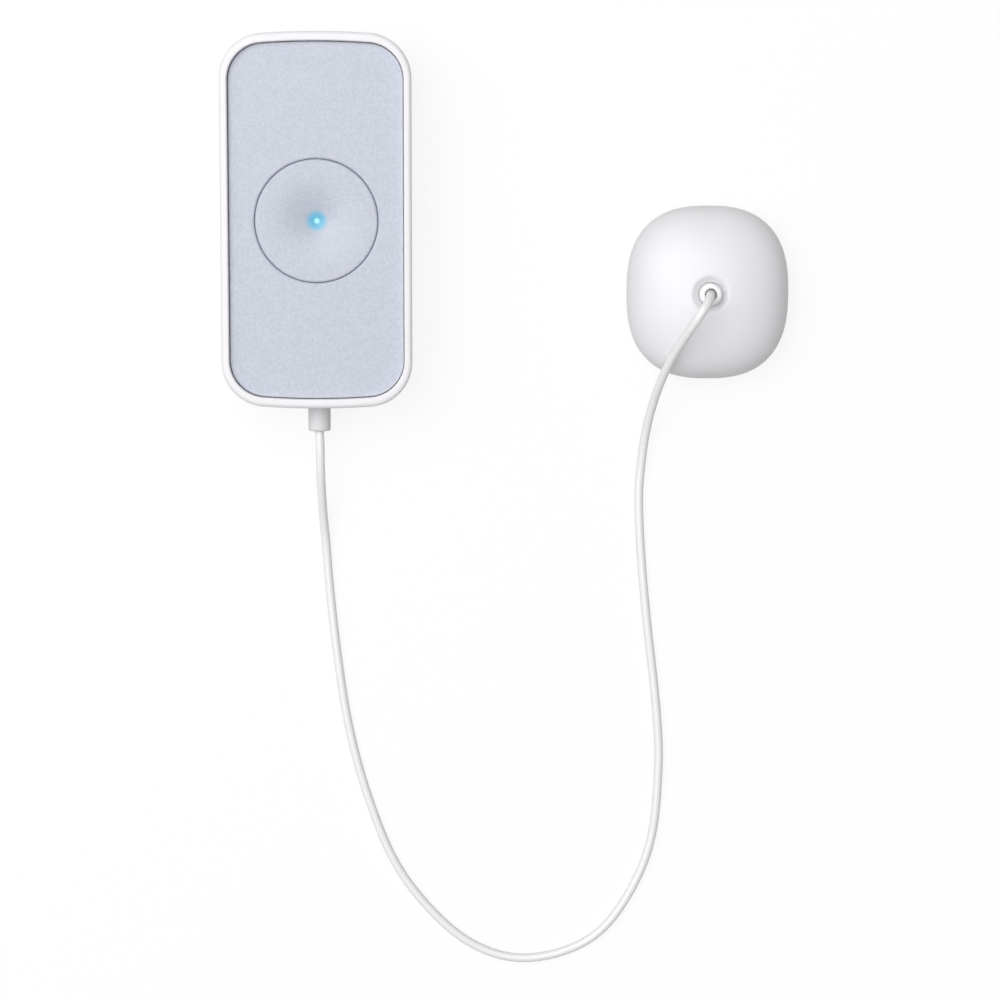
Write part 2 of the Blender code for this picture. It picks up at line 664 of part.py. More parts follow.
def build_battery(host):
    """Coin cell in its open ring, with the strip on its side and the strip over its face."""
    small = CELL_RADIUS - CELL_STEP
    profile = [
        (0, CELL_BASE),
        (CELL_RADIUS - SMALL_ROUND, CELL_BASE),
        (CELL_RADIUS, CELL_BASE + SMALL_ROUND),
        (CELL_RADIUS, CELL_TOP - CELL_STEP_HEIGHT),
        (small, CELL_TOP - CELL_STEP_HEIGHT),
        (small, CELL_TOP - SMALL_ROUND),
        (small - SMALL_ROUND, CELL_TOP),
        (0, CELL_TOP),
    ]
    cell = add_object("coin_cell", revolve(profile, 36), host, (0, CELL_Y, 0))
    finish_piece(cell, "steel")

    inner = CELL_RADIUS + SEAT_GAP
    arc_start = math.pi / 2 + HOLDER_OPENING / 2
    arc = spread(arc_start, arc_start + 2 * math.pi - HOLDER_OPENING, 24)
    low, high = COVER_FLOOR + SEAT_GAP, BOARD_UNDERSIDE - SEAT_GAP
    holder = arc_band(arc, inner, inner + HOLDER_WALL, low, high)
    finish_piece(add_object("battery_holder", holder, host, (0, CELL_Y, 0)), "black_plastic")

    positive_half = CONTACT_WIDTH / 2 / CELL_RADIUS
    strip = spread(math.pi / 2 - positive_half, math.pi / 2 + positive_half, 4)
    positive = arc_band(strip, inner, inner + CONTACT_THICKNESS, low, high)
    contact = add_object("battery_contact_positive", positive, host, (0, CELL_Y, 0))
    finish_piece(contact, "gold")

    size = Vector((CONTACT_WIDTH, small, CONTACT_THICKNESS))
    negative = add_object(
        "battery_contact_negative", rounded_box(size, CONTACT_THICKNESS / 4), host, (0, CELL_Y, CELL_TOP + SEAT_GAP)
    )
    finish_piece(negative, "gold")


def arc_band(angles, inner, outer, low, high):
    """A bmesh band that follows part of a circle."""
    sections = []
    for a in angles:
        out = Vector((math.cos(a), math.sin(a), 0))
        up = Vector((0, 0, 1))
        sections.append([out * inner + up * low, out * outer + up * low, out * outer + up * high, out * inner + up * high])
    return loft(sections)


def build_screw(name, parent, place, length, head_up):
    """Pan-head screw with a drive recess. Its place is where its head's underside lies."""
    recess = SCREW_HEAD_HEIGHT / 2
    profile = [
        (0, -length),
        (SCREW_RADIUS, SCREW_RADIUS - length),
        (SCREW_RADIUS, 0),
        (SCREW_HEAD_RADIUS, 0),
        (SCREW_HEAD_RADIUS, SCREW_HEAD_HEIGHT - SMALL_ROUND),
        (SCREW_HEAD_RADIUS - SMALL_ROUND, SCREW_HEAD_HEIGHT),
        (SCREW_RADIUS, SCREW_HEAD_HEIGHT),
        (0, SCREW_HEAD_HEIGHT - recess),
    ]
    screw = add_object(name, revolve(profile, 12), parent, place)
    if not head_up:
        screw.rotation_euler = (math.pi, 0, 0)
    finish_piece(screw, "steel")


def build_host_screws(host):
    """Four screws up through the rear cover, and two down through the board."""
    for number, (x, y) in enumerate(case_boss_places(), start=1):
        build_screw(f"case_screw_{number}", host, (x, y, screw_seat()), CASE_SCREW_LENGTH, head_up=False)
    for number, (x, y) in enumerate(board_screw_places(), start=1):
        place = (x, y, BOARD_TOP + SEAT_GAP)
        build_screw(f"board_screw_{number}", host, place, BOARD_SCREW_LENGTH, head_up=True)


def build_strain_relief(host):
    """Tapered sleeve held by a flange inside the wall, with a blind bore that the cord enters.
    Heights along its profile are distances out from the wall's inner face."""
    wall_inner = HOST_LENGTH / 2 - END_WALL
    end = HOST_LENGTH / 2 + SLEEVE_LENGTH - wall_inner
    nose = [
        (SLEEVE_END_RADIUS - inset, end - SLEEVE_ROUND + up) for inset, up in quarter_round(SLEEVE_ROUND, 3)
    ]
    profile = [
        (0, -SEAT_GAP - SLEEVE_FLANGE_THICKNESS),
        (SLEEVE_FLANGE_RADIUS, -SEAT_GAP - SLEEVE_FLANGE_THICKNESS),
        (SLEEVE_FLANGE_RADIUS, -SEAT_GAP),
        (SLEEVE_RADIUS, -SEAT_GAP),
        (SLEEVE_RADIUS, END_WALL + SEAT_GAP),
        *nose,
        (BORE_RADIUS, end),
        (BORE_RADIUS, end - CORD_BORE_DEPTH),
        (0, end - CORD_BORE_DEPTH),
    ]
    sleeve = add_object("strain_relief", revolve(profile, 24), host, (0, -wall_inner, CORD_HEIGHT))
    sleeve.rotation_euler = (math.pi / 2, 0, 0)
    finish_piece(sleeve, "soft_white")


def smooth_points(route, spacing):
    """Points along a smooth curve through a route, by Catmull-Rom segments: one for each length of
    spacing, and one more for each CORD_TURN that the curve bends through."""
    padded = [route[0] * 2 - route[1], *route, route[-1] * 2 - route[-2]]
    points = []
    for before, start, end, after in zip(padded, padded[1:], padded[2:], padded[3:]):
        bend = (end - before).angle(after - start)
        steps = max(1, round((end - start).length / spacing + bend / CORD_TURN))
        for t in spread(0, 1, steps)[:-1]:
            curve = 2 * start + (end - before) * t
            curve += (2 * before - 5 * start + 4 * end - after) * t**2
            curve += (3 * start - before - 3 * end + after) * t**3
            points.append(curve / 2)
    return points + [route[-1]]


def build_cable(name, points, radius, parent, look, resolution=2):
    """Round cable along points: a curve with a bevel and filled caps."""
    curve = bpy.data.curves.new(name, "CURVE")
    curve.dimensions = "3D"
    curve.bevel_depth = radius
    curve.bevel_resolution = resolution
    curve.use_fill_caps = True
    spline = curve.splines.new("POLY")
    spline.points.add(len(points) - 1)
    for target, point in zip(spline.points, points):
        target.co = (*point, 1.0)
    spline.use_smooth = True
    cable = bpy.data.objects.new(name, curve)
    cable.parent = parent
    bpy.context.scene.collection.objects.link(cable)
    curve.materials.append(make_material(name, look))


def build_cord():
    """The cord from the bottom of the sleeve's bore to the bottom of the collar's."""
    sleeve_seat = SLEEVE_END_Y + CORD_BORE_DEPTH - SEAT_GAP
    start = [Vector((0, sleeve_seat, CORD_HEIGHT)), Vector((0, SLEEVE_END_Y - SEAT_GAP, CORD_HEIGHT))]
    collar_seat = COLLAR_TOP - CORD_BORE_DEPTH + SEAT_GAP
    end = [Vector((PROBE_PLACE.x, PROBE_PLACE.y, collar_seat))]
    route = start + [Vector(point) * MM for point in CORD_ROUTE_MM] + end
    build_cable("cord", smooth_points(route, CORD_SPACING), CORD_RADIUS, None, "white_plastic")


def build_host_leads(host):
    """The cord's two wires, from the sleeve's flange round into the connector's end."""
    start_y = -HOST_LENGTH / 2 + END_WALL + SEAT_GAP + SLEEVE_FLANGE_THICKNESS + SEAT_GAP
    end_y = CONNECTOR_Y - CONNECTOR_LENGTH / 2 - SEAT_GAP
    end_z = BOARD_UNDERSIDE - SEAT_GAP - CONNECTOR_HEIGHT / 2
    for number, side in enumerate((-1, 1), start=1):
        x = side * LEAD_SPACING
        run = end_y - start_y
        route = [
            Vector((x, start_y, CORD_HEIGHT)),
            Vector((x, start_y + run * 0.2, CORD_HEIGHT)),
            Vector((x, start_y + run * 0.8, end_z)),
            Vector((x, end_y, end_z)),
        ]
        look = "red_lead" if side > 0 else "black_plastic"
        build_cable(f"host_lead_{number}", smooth_points(route, LEAD_POINT_SPACING), LEAD_RADIUS, host, look, resolution=1)


def probe_ring(height, scale, roundness, inset=0.0):
    """The probe's plan outline at a height. A roundness of 0 is the soft square at its full
    proportions, and 1 is a circle, so the dome runs smoothly from one to the other."""
    mean = (PROBE_WIDTH + PROBE_LENGTH) / 4
    half_x = scale * (PROBE_WIDTH / 2 + (mean - PROBE_WIDTH / 2) * roundness) - inset
    half_y = scale * (PROBE_LENGTH / 2 + (mean - PROBE_LENGTH / 2) * roundness) - inset
    power = PROBE_SQUARENESS + (2 - PROBE_SQUARENESS) * roundness
    ring = []
    for i in range(PROBE_SIDES):
        a = 2 * math.pi * i / PROBE_SIDES
        reach = (abs(math.cos(a) / half_x) ** power + abs(math.sin(a) / half_y) ** power) ** (-1 / power)
        ring.append(Vector((reach * math.cos(a), reach * math.sin(a), height)))
    return ring


def dome_rings(top, centre_scale, inset, steps):
    """Rings of a dome from its widest line up to the moat or the hole in its middle."""
    last = math.acos(centre_scale ** (DOME_POWER / 2))
    rings = []
    for a in spread(0, last, steps):
        scale = math.cos(a) ** (2 / DOME_POWER)
        height = DOME_WIDEST + (top - DOME_WIDEST) * math.sin(a) ** (2 / DOME_POWER)
        roundness = (1 - scale) / (1 - centre_scale)
        rings.append(probe_ring(height, scale, roundness, inset * scale))
    return rings


def dome_height(across):
    """Height of the dome's outer face, given how far out it is as a share of the widest line."""
    return DOME_WIDEST + (DOME_TOP - DOME_WIDEST) * (1 - across**DOME_POWER) ** (1 / DOME_POWER)


def foot_inset(height):
    """How far the wall is drawn in at a height below the dome's widest line."""
    return DOME_TUCK * ((DOME_WIDEST - height) / (DOME_WIDEST - PROBE_STANDOFF)) ** 2


def base_seat_inset():
    """From the probe's full outline to the wall of the opening that the base plate fills."""
    return DOME_TUCK + BASE_EDGE


def build_probe_shell(probe):
    """Soft square dome in one moulding. It is drawn in at the foot, runs up to a round moat with
    the collar's hole in it, and is hollow below, with a ledge for the seal and two screw bosses."""
    mean = (PROBE_WIDTH + PROBE_LENGTH) / 4
    moat_scale = MOAT_RADIUS / mean
    hole = COLLAR_RADIUS + SEAT_GAP
    foot = [
        probe_ring(z, 1, 0, foot_inset(z)) for z in spread(PROBE_STANDOFF, DOME_WIDEST, 4)[:-1]
    ]
    outer = dome_rings(DOME_TOP, moat_scale, 0, DOME_STEPS)
    rim = outer[-1][0].z
    moat = []
    for share in spread(0, 1, MOAT_STEPS)[1:]:
        drop = (rim - DOME_FLOOR) * (1 - math.cos(math.pi * share)) / 2
        moat.append(probe_ring(rim - drop, (MOAT_RADIUS + (hole - MOAT_RADIUS) * share) / mean, 1))
    inner = dome_rings(DOME_CEILING, hole / mean, DOME_WALL, DOME_STEPS - 3)[::-1]
    inner[0] = probe_ring(DOME_CEILING, hole / mean, 1)
    ledge = [
        probe_ring(SEAL_LEDGE, 1, 0, base_seat_inset() + SEAL_WIDTH),
        probe_ring(SEAL_LEDGE, 1, 0, base_seat_inset()),
        probe_ring(PROBE_STANDOFF, 1, 0, base_seat_inset()),
    ]
    shell = add_object("probe_shell", loft([*foot, *outer, *moat, *inner, *ledge], closed=True), probe)
    boss_top = dome_height((PROBE_BOSS_X + PROBE_BOSS_RADIUS) / (PROBE_WIDTH / 2)) - MERGE
    boss_places = [(side * PROBE_BOSS_X, 0) for side in (-1, 1)]
    bosses = posts(boss_places, PROBE_BOSS_RADIUS, BASE_TOP + SEAT_GAP, boss_top)
    combine(shell, add_tool("shell_bosses", bosses, probe), "UNION")
    pilots = posts(boss_places, SCREW_RADIUS + THREAD_GAP, 0, screw_tip() + SEAT_GAP, 12)
    combine(shell, add_tool("shell_pilots", pilots, probe), "DIFFERENCE")
    finish_piece(shell, "white_plastic")


def screw_tip():
    """How high the probe's screws reach."""
    return PROBE_STANDOFF + screw_seat() + PROBE_SCREW_LENGTH


def build_probe_base(probe):
    """Flat plate that closes the probe, with holes for the contact pins and sunk screw holes."""
    inset = base_seat_inset() + SEAT_GAP
    rings = [
        probe_ring(PROBE_STANDOFF, 1, 0, inset + SMALL_ROUND),
        probe_ring(PROBE_STANDOFF + SMALL_ROUND, 1, 0, inset),
        probe_ring(BASE_TOP, 1, 0, inset),
    ]
    base = add_object("probe_base", loft(rings), probe)
    pins = posts(four_places(PIN_X, PIN_Y), PIN_RADIUS + SNUG_GAP, 0, BASE_TOP + MERGE, 12)
    combine(base, add_tool("pin_holes", pins, probe), "DIFFERENCE")
    boss_places = [(side * PROBE_BOSS_X, 0) for side in (-1, 1)]
    holes = posts(boss_places, SCREW_RADIUS + THREAD_GAP, 0, BASE_TOP + MERGE, 12)
    combine(base, add_tool("base_screw_holes", holes, probe), "DIFFERENCE")
    sinks = posts(boss_places, SCREW_HEAD_RADIUS + SEAT_GAP, 0, PROBE_STANDOFF + screw_seat() + SEAT_GAP)
    combine(base, add_tool("base_screw_sinks", sinks, probe), "DIFFERENCE")
    finish_piece(base, "white_plastic")
    for number, (x, y) in enumerate(boss_places, start=1):
        place = (x, y, PROBE_STANDOFF + screw_seat())
        build_screw(f"probe_screw_{number}", probe, place, PROBE_SCREW_LENGTH, head_up=False)


def build_probe_seal(probe):
    """Rubber ring squeezed between the shell's ledge and the base plate."""
    outer = base_seat_inset() + SEAT_GAP
    inner = outer + SEAL_WIDTH - 2 * SEAT_GAP
    rings = [
        probe_ring(SEAL_BASE, 1, 0, outer),
        probe_ring(SEAL_BASE + SEAL_HEIGHT, 1, 0, outer),
        probe_ring(SEAL_BASE + SEAL_HEIGHT, 1, 0, inner),
        probe_ring(SEAL_BASE, 1, 0, inner),
    ]
    finish_piece(add_object("probe_seal", loft(rings, closed=True), probe), "black_plastic")


def build_probe_contacts(probe):
    """Four metal pins: their feet stand on the floor, and water between them closes a circuit."""
    profile = [
        (0, 0),
        (PIN_FOOT_RADIUS - SMALL_ROUND, 0),
        (PIN_FOOT_RADIUS, SMALL_ROUND),
        (PIN_FOOT_RADIUS, PIN_FOOT_HEIGHT),
        (PIN_RADIUS, PIN_FOOT_HEIGHT),
        (PIN_RADIUS, PIN_LENGTH),
        (0, PIN_LENGTH),
    ]
    for number, (x, y) in enumerate(four_places(PIN_X, PIN_Y), start=1):
        pin = add_object(f"probe_contact_{number}", revolve(profile, 12), probe, (x, y, 0))
        finish_piece(pin, "gold")
    board = add_object(
        "probe_board",
        plate(PROBE_BOARD_WIDTH, PROBE_BOARD_LENGTH, BOARD_CORNER, BOARD_THICKNESS),
        probe,
        (0, 0, PROBE_BOARD_UNDERSIDE),
    )
    finish_piece(board, "board_green")


def build_probe_gland(probe):
    """Collar that stands in the moat and grips the cord, held by a flange under the dome, and the
    two wires that run on from it to the probe's board."""
    crown = [
        (COLLAR_RADIUS - inset, COLLAR_TOP - COLLAR_ROUND + up) for inset, up in quarter_round(COLLAR_ROUND, 4)
    ]
    flange_top = DOME_CEILING - SEAT_GAP
    flange_base = flange_top - COLLAR_FLANGE_THICKNESS
    profile = [
        (0, flange_base),
        (COLLAR_FLANGE_RADIUS, flange_base),
        (COLLAR_FLANGE_RADIUS, flange_top),
        (COLLAR_RADIUS, flange_top),
        *crown,
        (BORE_RADIUS, COLLAR_TOP - SMALL_ROUND),
        (BORE_RADIUS, COLLAR_TOP - CORD_BORE_DEPTH),
        (0, COLLAR_TOP - CORD_BORE_DEPTH),
    ]
    finish_piece(add_object("probe_gland", revolve(profile, 24), probe), "soft_white")

    start_z = flange_base - SEAT_GAP
    end_z = PROBE_BOARD_UNDERSIDE + BOARD_THICKNESS + SEAT_GAP
    for number, side in enumerate((-1, 1), start=1):
        near = side * LEAD_SPACING
        far = side * LEAD_SPREAD
        drop = end_z - start_z
        route = [
            Vector((near, 0, start_z)),
            Vector((near, 0, start_z + drop * 0.2)),
            Vector((far, 0, start_z + drop * 0.8)),
            Vector((far, 0, end_z)),
        ]
        look = "red_lead" if side > 0 else "black_plastic"
        build_cable(f"probe_lead_{number}", smooth_points(route, LEAD_POINT_SPACING), LEAD_RADIUS, probe, look, resolution=1)


def main():
    clear_scene()
    host = add_group("host", (0, 0, 0))
    button = add_group("button", (0, 0, PANEL_TOP))
    probe = add_group("probe", PROBE_PLACE)
    build_front_bezel(host)
    build_rear_cover(host)
    build_front_panel(host)
    build_button(button)
    build_circuit_board(host)
    build_battery(host)
    build_host_screws(host)
    build_strain_relief(host)
    build_host_leads(host)
    build_probe_shell(probe)
    build_probe_base(probe)
    build_probe_seal(probe)
    build_probe_contacts(probe)
    build_probe_gland(probe)
    build_cord()


main()
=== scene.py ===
"""Water leak sensor: the finished surfaces, the free cord, the studio and the camera.

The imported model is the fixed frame. Each sub-assembly below takes its main sizes from that frame,
models the surfaces that show more finely than the frame has them, and dresses them. Metres, +Z up.
"""

from __future__ import annotations

import logging
import math
from collections.abc import Callable, Iterable, Sequence
from dataclasses import dataclass
from enum import Enum

import bmesh
import bpy
from mathutils import Matrix, Vector


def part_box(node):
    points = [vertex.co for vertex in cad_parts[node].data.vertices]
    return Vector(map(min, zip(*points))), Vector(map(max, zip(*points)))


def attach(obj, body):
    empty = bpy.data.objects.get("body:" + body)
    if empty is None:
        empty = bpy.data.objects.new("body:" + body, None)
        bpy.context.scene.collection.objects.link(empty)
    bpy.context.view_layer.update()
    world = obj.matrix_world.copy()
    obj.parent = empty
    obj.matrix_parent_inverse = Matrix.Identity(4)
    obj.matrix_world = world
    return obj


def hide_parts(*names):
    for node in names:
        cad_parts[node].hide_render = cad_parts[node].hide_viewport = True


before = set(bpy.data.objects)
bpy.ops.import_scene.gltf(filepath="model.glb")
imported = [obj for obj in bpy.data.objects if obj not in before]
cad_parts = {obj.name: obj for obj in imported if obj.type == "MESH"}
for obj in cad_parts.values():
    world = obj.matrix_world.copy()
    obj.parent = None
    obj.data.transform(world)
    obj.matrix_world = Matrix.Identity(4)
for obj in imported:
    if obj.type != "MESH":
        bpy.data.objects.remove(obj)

MM = 0.001
SMOOTH_ANGLE = math.radians(32)
ARC_STEP = math.radians(13)  # longest turn between two points of a rounded edge
HOLD = 0.05 * MM  # how near to a rounded edge a flat face gets its own row of points
MERGE = 0.3 * MM  # how far a boss reaches into its wall, and how far short of it a pilot hole ends
PAST = 1.0 * MM  # how far a cut goes on past the face that it opens
WELL_RADIUS = 1.8 * MM  # sunk hole for a screw's head
WELL_DEPTH = 1.4 * MM
FINE_POLE = 0.1 * MM  # radius of the small flat cap in the middle of a turned shape
POLE = 0.2 * MM
WIDE_POLE = 0.3 * MM
ROD_POINTS = 48

log = logging.getLogger("leak_sensor")

Colour = tuple[float, float, float]
Place = tuple[float, float]
Ring = list[Vector]
RingMaker = Callable[[float, float], Ring]
Socket = bpy.types.NodeSocket


class Body(Enum):
    """The two bodies of the frame."""

    HOST = "host"
    BUTTON = "button"


class End(Enum):
    """How a grown shell is finished at its first or its last ring."""

    CAP = "flat cap"
    POLE = "point on the axis"


class Join(Enum):
    """What a tool shape does to the piece that it meets."""

    ADD = "UNION"
    CUT = "DIFFERENCE"


# Finishes


class Recipe:
    """A material in the making, with short calls for the nodes that the finishes share."""

    def __init__(self, name: str) -> None:
        """Start from a Principled shader.

        Args:
            name: Name of the material.
        """
        self.material = bpy.data.materials.new(name)
        self.material.use_nodes = True
        self.nodes = self.material.node_tree.nodes
        self.links = self.material.node_tree.links
        self.shader = self.nodes["Principled BSDF"]
        self.place = self.nodes.new("ShaderNodeTexCoord").outputs["Object"]

    def wire(self, source: Socket, name: str) -> None:
        """Link a socket to one of the shader's inputs."""
        self.links.new(source, self.shader.inputs[name])

    def stretched(self, factors: Sequence[float]) -> Socket:
        """The place on the piece, stretched along each axis by a factor."""
        node = self.nodes.new("ShaderNodeVectorMath")
        node.operation = "MULTIPLY"
        self.links.new(self.place, node.inputs[0])
        node.inputs[1].default_value = factors
        return node.outputs["Vector"]

    def noise(self, spacing: float, detail: float = 2.0, place: Socket | None = None) -> Socket:
        """Cloudy noise from 0 to 1.

        Args:
            spacing: Size of its patches in metres.
            detail: Octaves of finer noise in it.
            place: Where it is read, if not at the plain place on the piece.

        Returns:
            The socket that gives the noise.
        """
        node = self.nodes.new("ShaderNodeTexNoise")
        self.links.new(place or self.place, node.inputs["Vector"])
        node.inputs["Scale"].default_value = 1 / spacing
        node.inputs["Detail"].default_value = detail
        return node.outputs["Fac"]

    def ranged(
        self, source: Socket, low: float, high: float, start: float = 0.0, stop: float = 1.0
    ) -> Socket:
        """Map a value smoothly from one range to another.

        Args:
            source: The value's socket.
            low: Result where the value is at start.
            high: Result where the value is at stop.
            start: First end of the value's own range.
            stop: Last end of the value's own range.

        Returns:
            The socket that gives the result.
        """
        node = self.nodes.new("ShaderNodeMapRange")
        node.interpolation_type = "SMOOTHSTEP"
        self.links.new(source, node.inputs["Value"])
        node.inputs["From Min"].default_value = start
        node.inputs["From Max"].default_value = stop
        node.inputs["To Min"].default_value = low
        node.inputs["To Max"].default_value = high
        return node.outputs["Result"]

    def mixed(self, factor: Socket, first: Colour | Socket, second: Colour | Socket) -> Socket:
        """Blend two colours by a factor, and give the result's socket."""
        node = self.nodes.new("ShaderNodeMix")
        node.data_type = "RGBA"
        self.links.new(factor, node.inputs["Factor"])
        for name, colour in (("A", first), ("B", second)):
            entry = next(s for s in node.inputs if s.name == name and s.type == "RGBA")
            if isinstance(colour, bpy.types.NodeSocket):
                self.links.new(colour, entry)
            else:
                entry.default_value = (*colour, 1.0)
        return next(s for s in node.outputs if s.type == "RGBA")

    def relief(self, height: Socket, depth: float) -> None:
        """Raise the surface by a height from 0 to 1, times a depth in metres."""
        node = self.nodes.new("ShaderNodeBump")
        node.inputs["Distance"].default_value = depth
        self.links.new(height, node.inputs["Height"])
        self.wire(node.outputs["Normal"], "Normal")

    def radius_from_axis(self) -> Socket:
        """Distance of each place from the upright axis through the origin."""
        node = self.nodes.new("ShaderNodeVectorMath")
        node.operation = "LENGTH"
        self.links.new(self.stretched((1.0, 1.0, 0.0)), node.inputs[0])
        return node.outputs["Value"]


@dataclass(frozen=True)
class Finish:
    """What every finish has: a name, and a material that is mixed the first time that it is asked for."""

    name: str

    def recipe(self) -> Recipe:
        """Mix the finish."""
        raise NotImplementedError

    def material(self) -> bpy.types.Material:
        """The finish's material."""
        return bpy.data.materials.get(self.name) or self.recipe().material


@dataclass(frozen=True)
class Moulding(Finish):
    """Moulded plastic or rubber: a plain colour that drifts a little, with a fine spark-eroded grain."""

    colour: Colour
    roughness: float = 0.42
    roughness_drift: float = 0.04
    gloss: float = 0.5
    drift: float = 0.02
    drift_spacing: float = 9 * MM
    grain: float = 0.16 * MM
    depth: float = 0.004 * MM

    def recipe(self) -> Recipe:
        """Mix the base, its gloss and its grain."""
        recipe = Recipe(self.name)
        recipe.wire(self.base(recipe), "Base Color")
        cloud = recipe.noise(self.drift_spacing / 3)
        smooth, rough = self.roughness - self.roughness_drift, self.roughness + self.roughness_drift
        recipe.wire(recipe.ranged(cloud, smooth, rough), "Roughness")
        recipe.shader.inputs["Specular IOR Level"].default_value = self.gloss
        recipe.relief(recipe.noise(self.grain, 3.0), self.depth)
        return recipe

    def base(self, recipe: Recipe) -> Socket:
        """The colour, and the same a little darker, in soft patches."""
        darker = tuple(channel * (1 - self.drift) for channel in self.colour)
        return recipe.mixed(recipe.noise(self.drift_spacing), darker, self.colour)


@dataclass(frozen=True)
class Speckled(Moulding):
    """Satin paint with flakes fine enough to read as a grain of lighter and darker specks."""

    speck: float = 0.55 * MM
    contrast: float = 0.055
    speck_low: float = 0.3
    speck_high: float = 0.7

    def base(self, recipe: Recipe) -> Socket:
        """The colour in lighter and darker specks."""
        specks = recipe.ranged(recipe.noise(self.speck, 1.0), 0.0, 1.0, self.speck_low, self.speck_high)
        dark = tuple(channel * (1 - self.contrast) for channel in self.colour)
        light = tuple(channel * (1 + self.contrast) for channel in self.colour)
        return recipe.mixed(specks, dark, light)


@dataclass(frozen=True)
class GlowingCap(Speckled):
    """The speckled paint with the guide's light painted on round it, where the cap's thin web would let it
    through: a painted glow in the emission and a painted blue halo in the base colour.
    """

    # painted light: a blue halo in the base colour and a glow in the emission stand for the guide's light
    painted_halo: Colour = (0.05, 0.27, 0.4)
    glow: Colour = (0.10, 0.24, 0.33)
    full_radius: float = 1.1 * MM
    last_radius: float = 2.7 * MM

    def recipe(self) -> Recipe:
        """Paint the light that comes through into the cap's emission, as a painted glow."""
        recipe = super().recipe()
        shine = self.shine(recipe)
        recipe.wire(recipe.mixed(shine, (0.0, 0.0, 0.0), self.glow), "Emission Color")
        recipe.shader.inputs["Emission Strength"].default_value = 1.0
        return recipe

    def base(self, recipe: Recipe) -> Socket:
        """The paint, with the guide's light painted into its colour as a blue halo near the guide."""
        return recipe.mixed(self.shine(recipe), super().base(recipe), self.painted_halo)

    def shine(self, recipe: Recipe) -> Socket:
        """1 beside the guide, falling to 0 further out."""
        return recipe.ranged(recipe.radius_from_axis(), 1.0, 0.0, self.full_radius, self.last_radius)


@dataclass(frozen=True)
class LitGuide(Finish):
    """Clear guide with a lamp under it: a small bright core in a deeper blue."""

    core: Colour
    rim: Colour
    core_radius: float = 0.25 * MM
    rim_radius: float = 0.75 * MM
    dark: Colour = (0.02, 0.05, 0.07)
    pale: Colour = (0.03, 0.07, 0.09)
    cloud: float = 0.4 * MM
    roughness: float = 0.25
    grain: float = 0.3 * MM
    depth: float = 0.004 * MM

    def recipe(self) -> Recipe:
        """Light the core and the rim in a dark clear base."""
        recipe = Recipe(self.name)
        shine = recipe.ranged(recipe.radius_from_axis(), 0.0, 1.0, self.core_radius, self.rim_radius)
        recipe.wire(recipe.mixed(shine, self.core, self.rim), "Emission Color")
        recipe.wire(recipe.mixed(recipe.noise(self.cloud), self.dark, self.pale), "Base Color")
        recipe.shader.inputs["Emission Strength"].default_value = 1.0
        recipe.shader.inputs["Roughness"].default_value = self.roughness
        recipe.relief(recipe.noise(self.grain), self.depth)
        return recipe


@dataclass(frozen=True)
class BrushedMetal(Finish):
    """Plated or bare metal with fine drawn lines along one axis."""

    colour: Colour
    roughness: float = 0.28
    smoother: float = 0.08
    rougher: float = 0.1
    shade: float = 0.85
    cloud: float = 1.5 * MM
    lines: float = 0.05 * MM
    stretch: float = 0.06
    depth: float = 0.002 * MM

    def recipe(self) -> Recipe:
        """Mix the metal, its clouds and its drawn lines."""
        recipe = Recipe(self.name)
        darker = tuple(channel * self.shade for channel in self.colour)
        recipe.wire(recipe.mixed(recipe.noise(self.cloud), darker, self.colour), "Base Color")
        lines = recipe.noise(self.lines, place=recipe.stretched((1.0, self.stretch, 1.0)))
        smooth, rough = self.roughness - self.smoother, self.roughness + self.rougher
        recipe.wire(recipe.ranged(lines, smooth, rough), "Roughness")
        recipe.relief(lines, self.depth)
        recipe.shader.inputs["Metallic"].default_value = 1.0
        return recipe


@dataclass(frozen=True)
class SolderMask(Finish):
    """Green board with copper tracks showing faintly through the mask."""

    mask: Colour
    track: Colour
    pitch: float = 1.1 * MM
    track_width: float = 0.09
    track_length: float = 4.0
    track_step: float = 0.8
    roughness: float = 0.38
    grain: float = 0.3 * MM
    depth: float = 0.004 * MM

    def recipe(self) -> Recipe:
        """Lay the tracks under the mask."""
        recipe = Recipe(self.name)
        tracks = recipe.nodes.new("ShaderNodeTexBrick")
        recipe.links.new(recipe.place, tracks.inputs["Vector"])
        tracks.inputs["Scale"].default_value = 1 / self.pitch
        tracks.inputs["Mortar Size"].default_value = self.track_width
        tracks.inputs["Brick Width"].default_value = self.track_length
        tracks.inputs["Row Height"].default_value = self.track_step
        recipe.wire(recipe.mixed(tracks.outputs["Fac"], self.mask, self.track), "Base Color")
        recipe.relief(recipe.noise(self.grain), self.depth)
        recipe.shader.inputs["Roughness"].default_value = self.roughness
        return recipe


WHITE = Moulding("moulded_white", (0.915, 0.9, 0.925), roughness=0.45, gloss=0.9)
PANEL_COLOUR: Colour = (0.560, 0.589, 0.675)
PANEL = Speckled("panel_satin_speckled", PANEL_COLOUR, gloss=0.7)
# the cap's paint carries a painted glow and a painted blue halo round the light guide
CAP = GlowingCap("button_satin_speckled", PANEL_COLOUR, gloss=0.7)
GUIDE = LitGuide("light_guide_lit", core=(0.36, 0.93, 0.98), rim=(0.12, 0.42, 0.6))
SOFT = Moulding("soft_white_sleeve", (0.81, 0.805, 0.82), roughness=0.5, drift=0.03)
CORD_SKIN = Moulding(
    "cord_white", (0.97, 0.965, 0.975), roughness=0.36, gloss=1.0, grain=0.3 * MM, depth=0.003 * MM
)
BLACK = Moulding("black_moulding", (0.045, 0.045, 0.05), drift=0.15, drift_spacing=3 * MM)
RUBBER = Moulding("black_rubber_ring", (0.035, 0.035, 0.035), roughness=0.7, drift=0.15, depth=0.01 * MM)
BLACK_LEAD = Moulding("black_lead_skin", (0.04, 0.04, 0.04), roughness=0.5, drift=0.1)
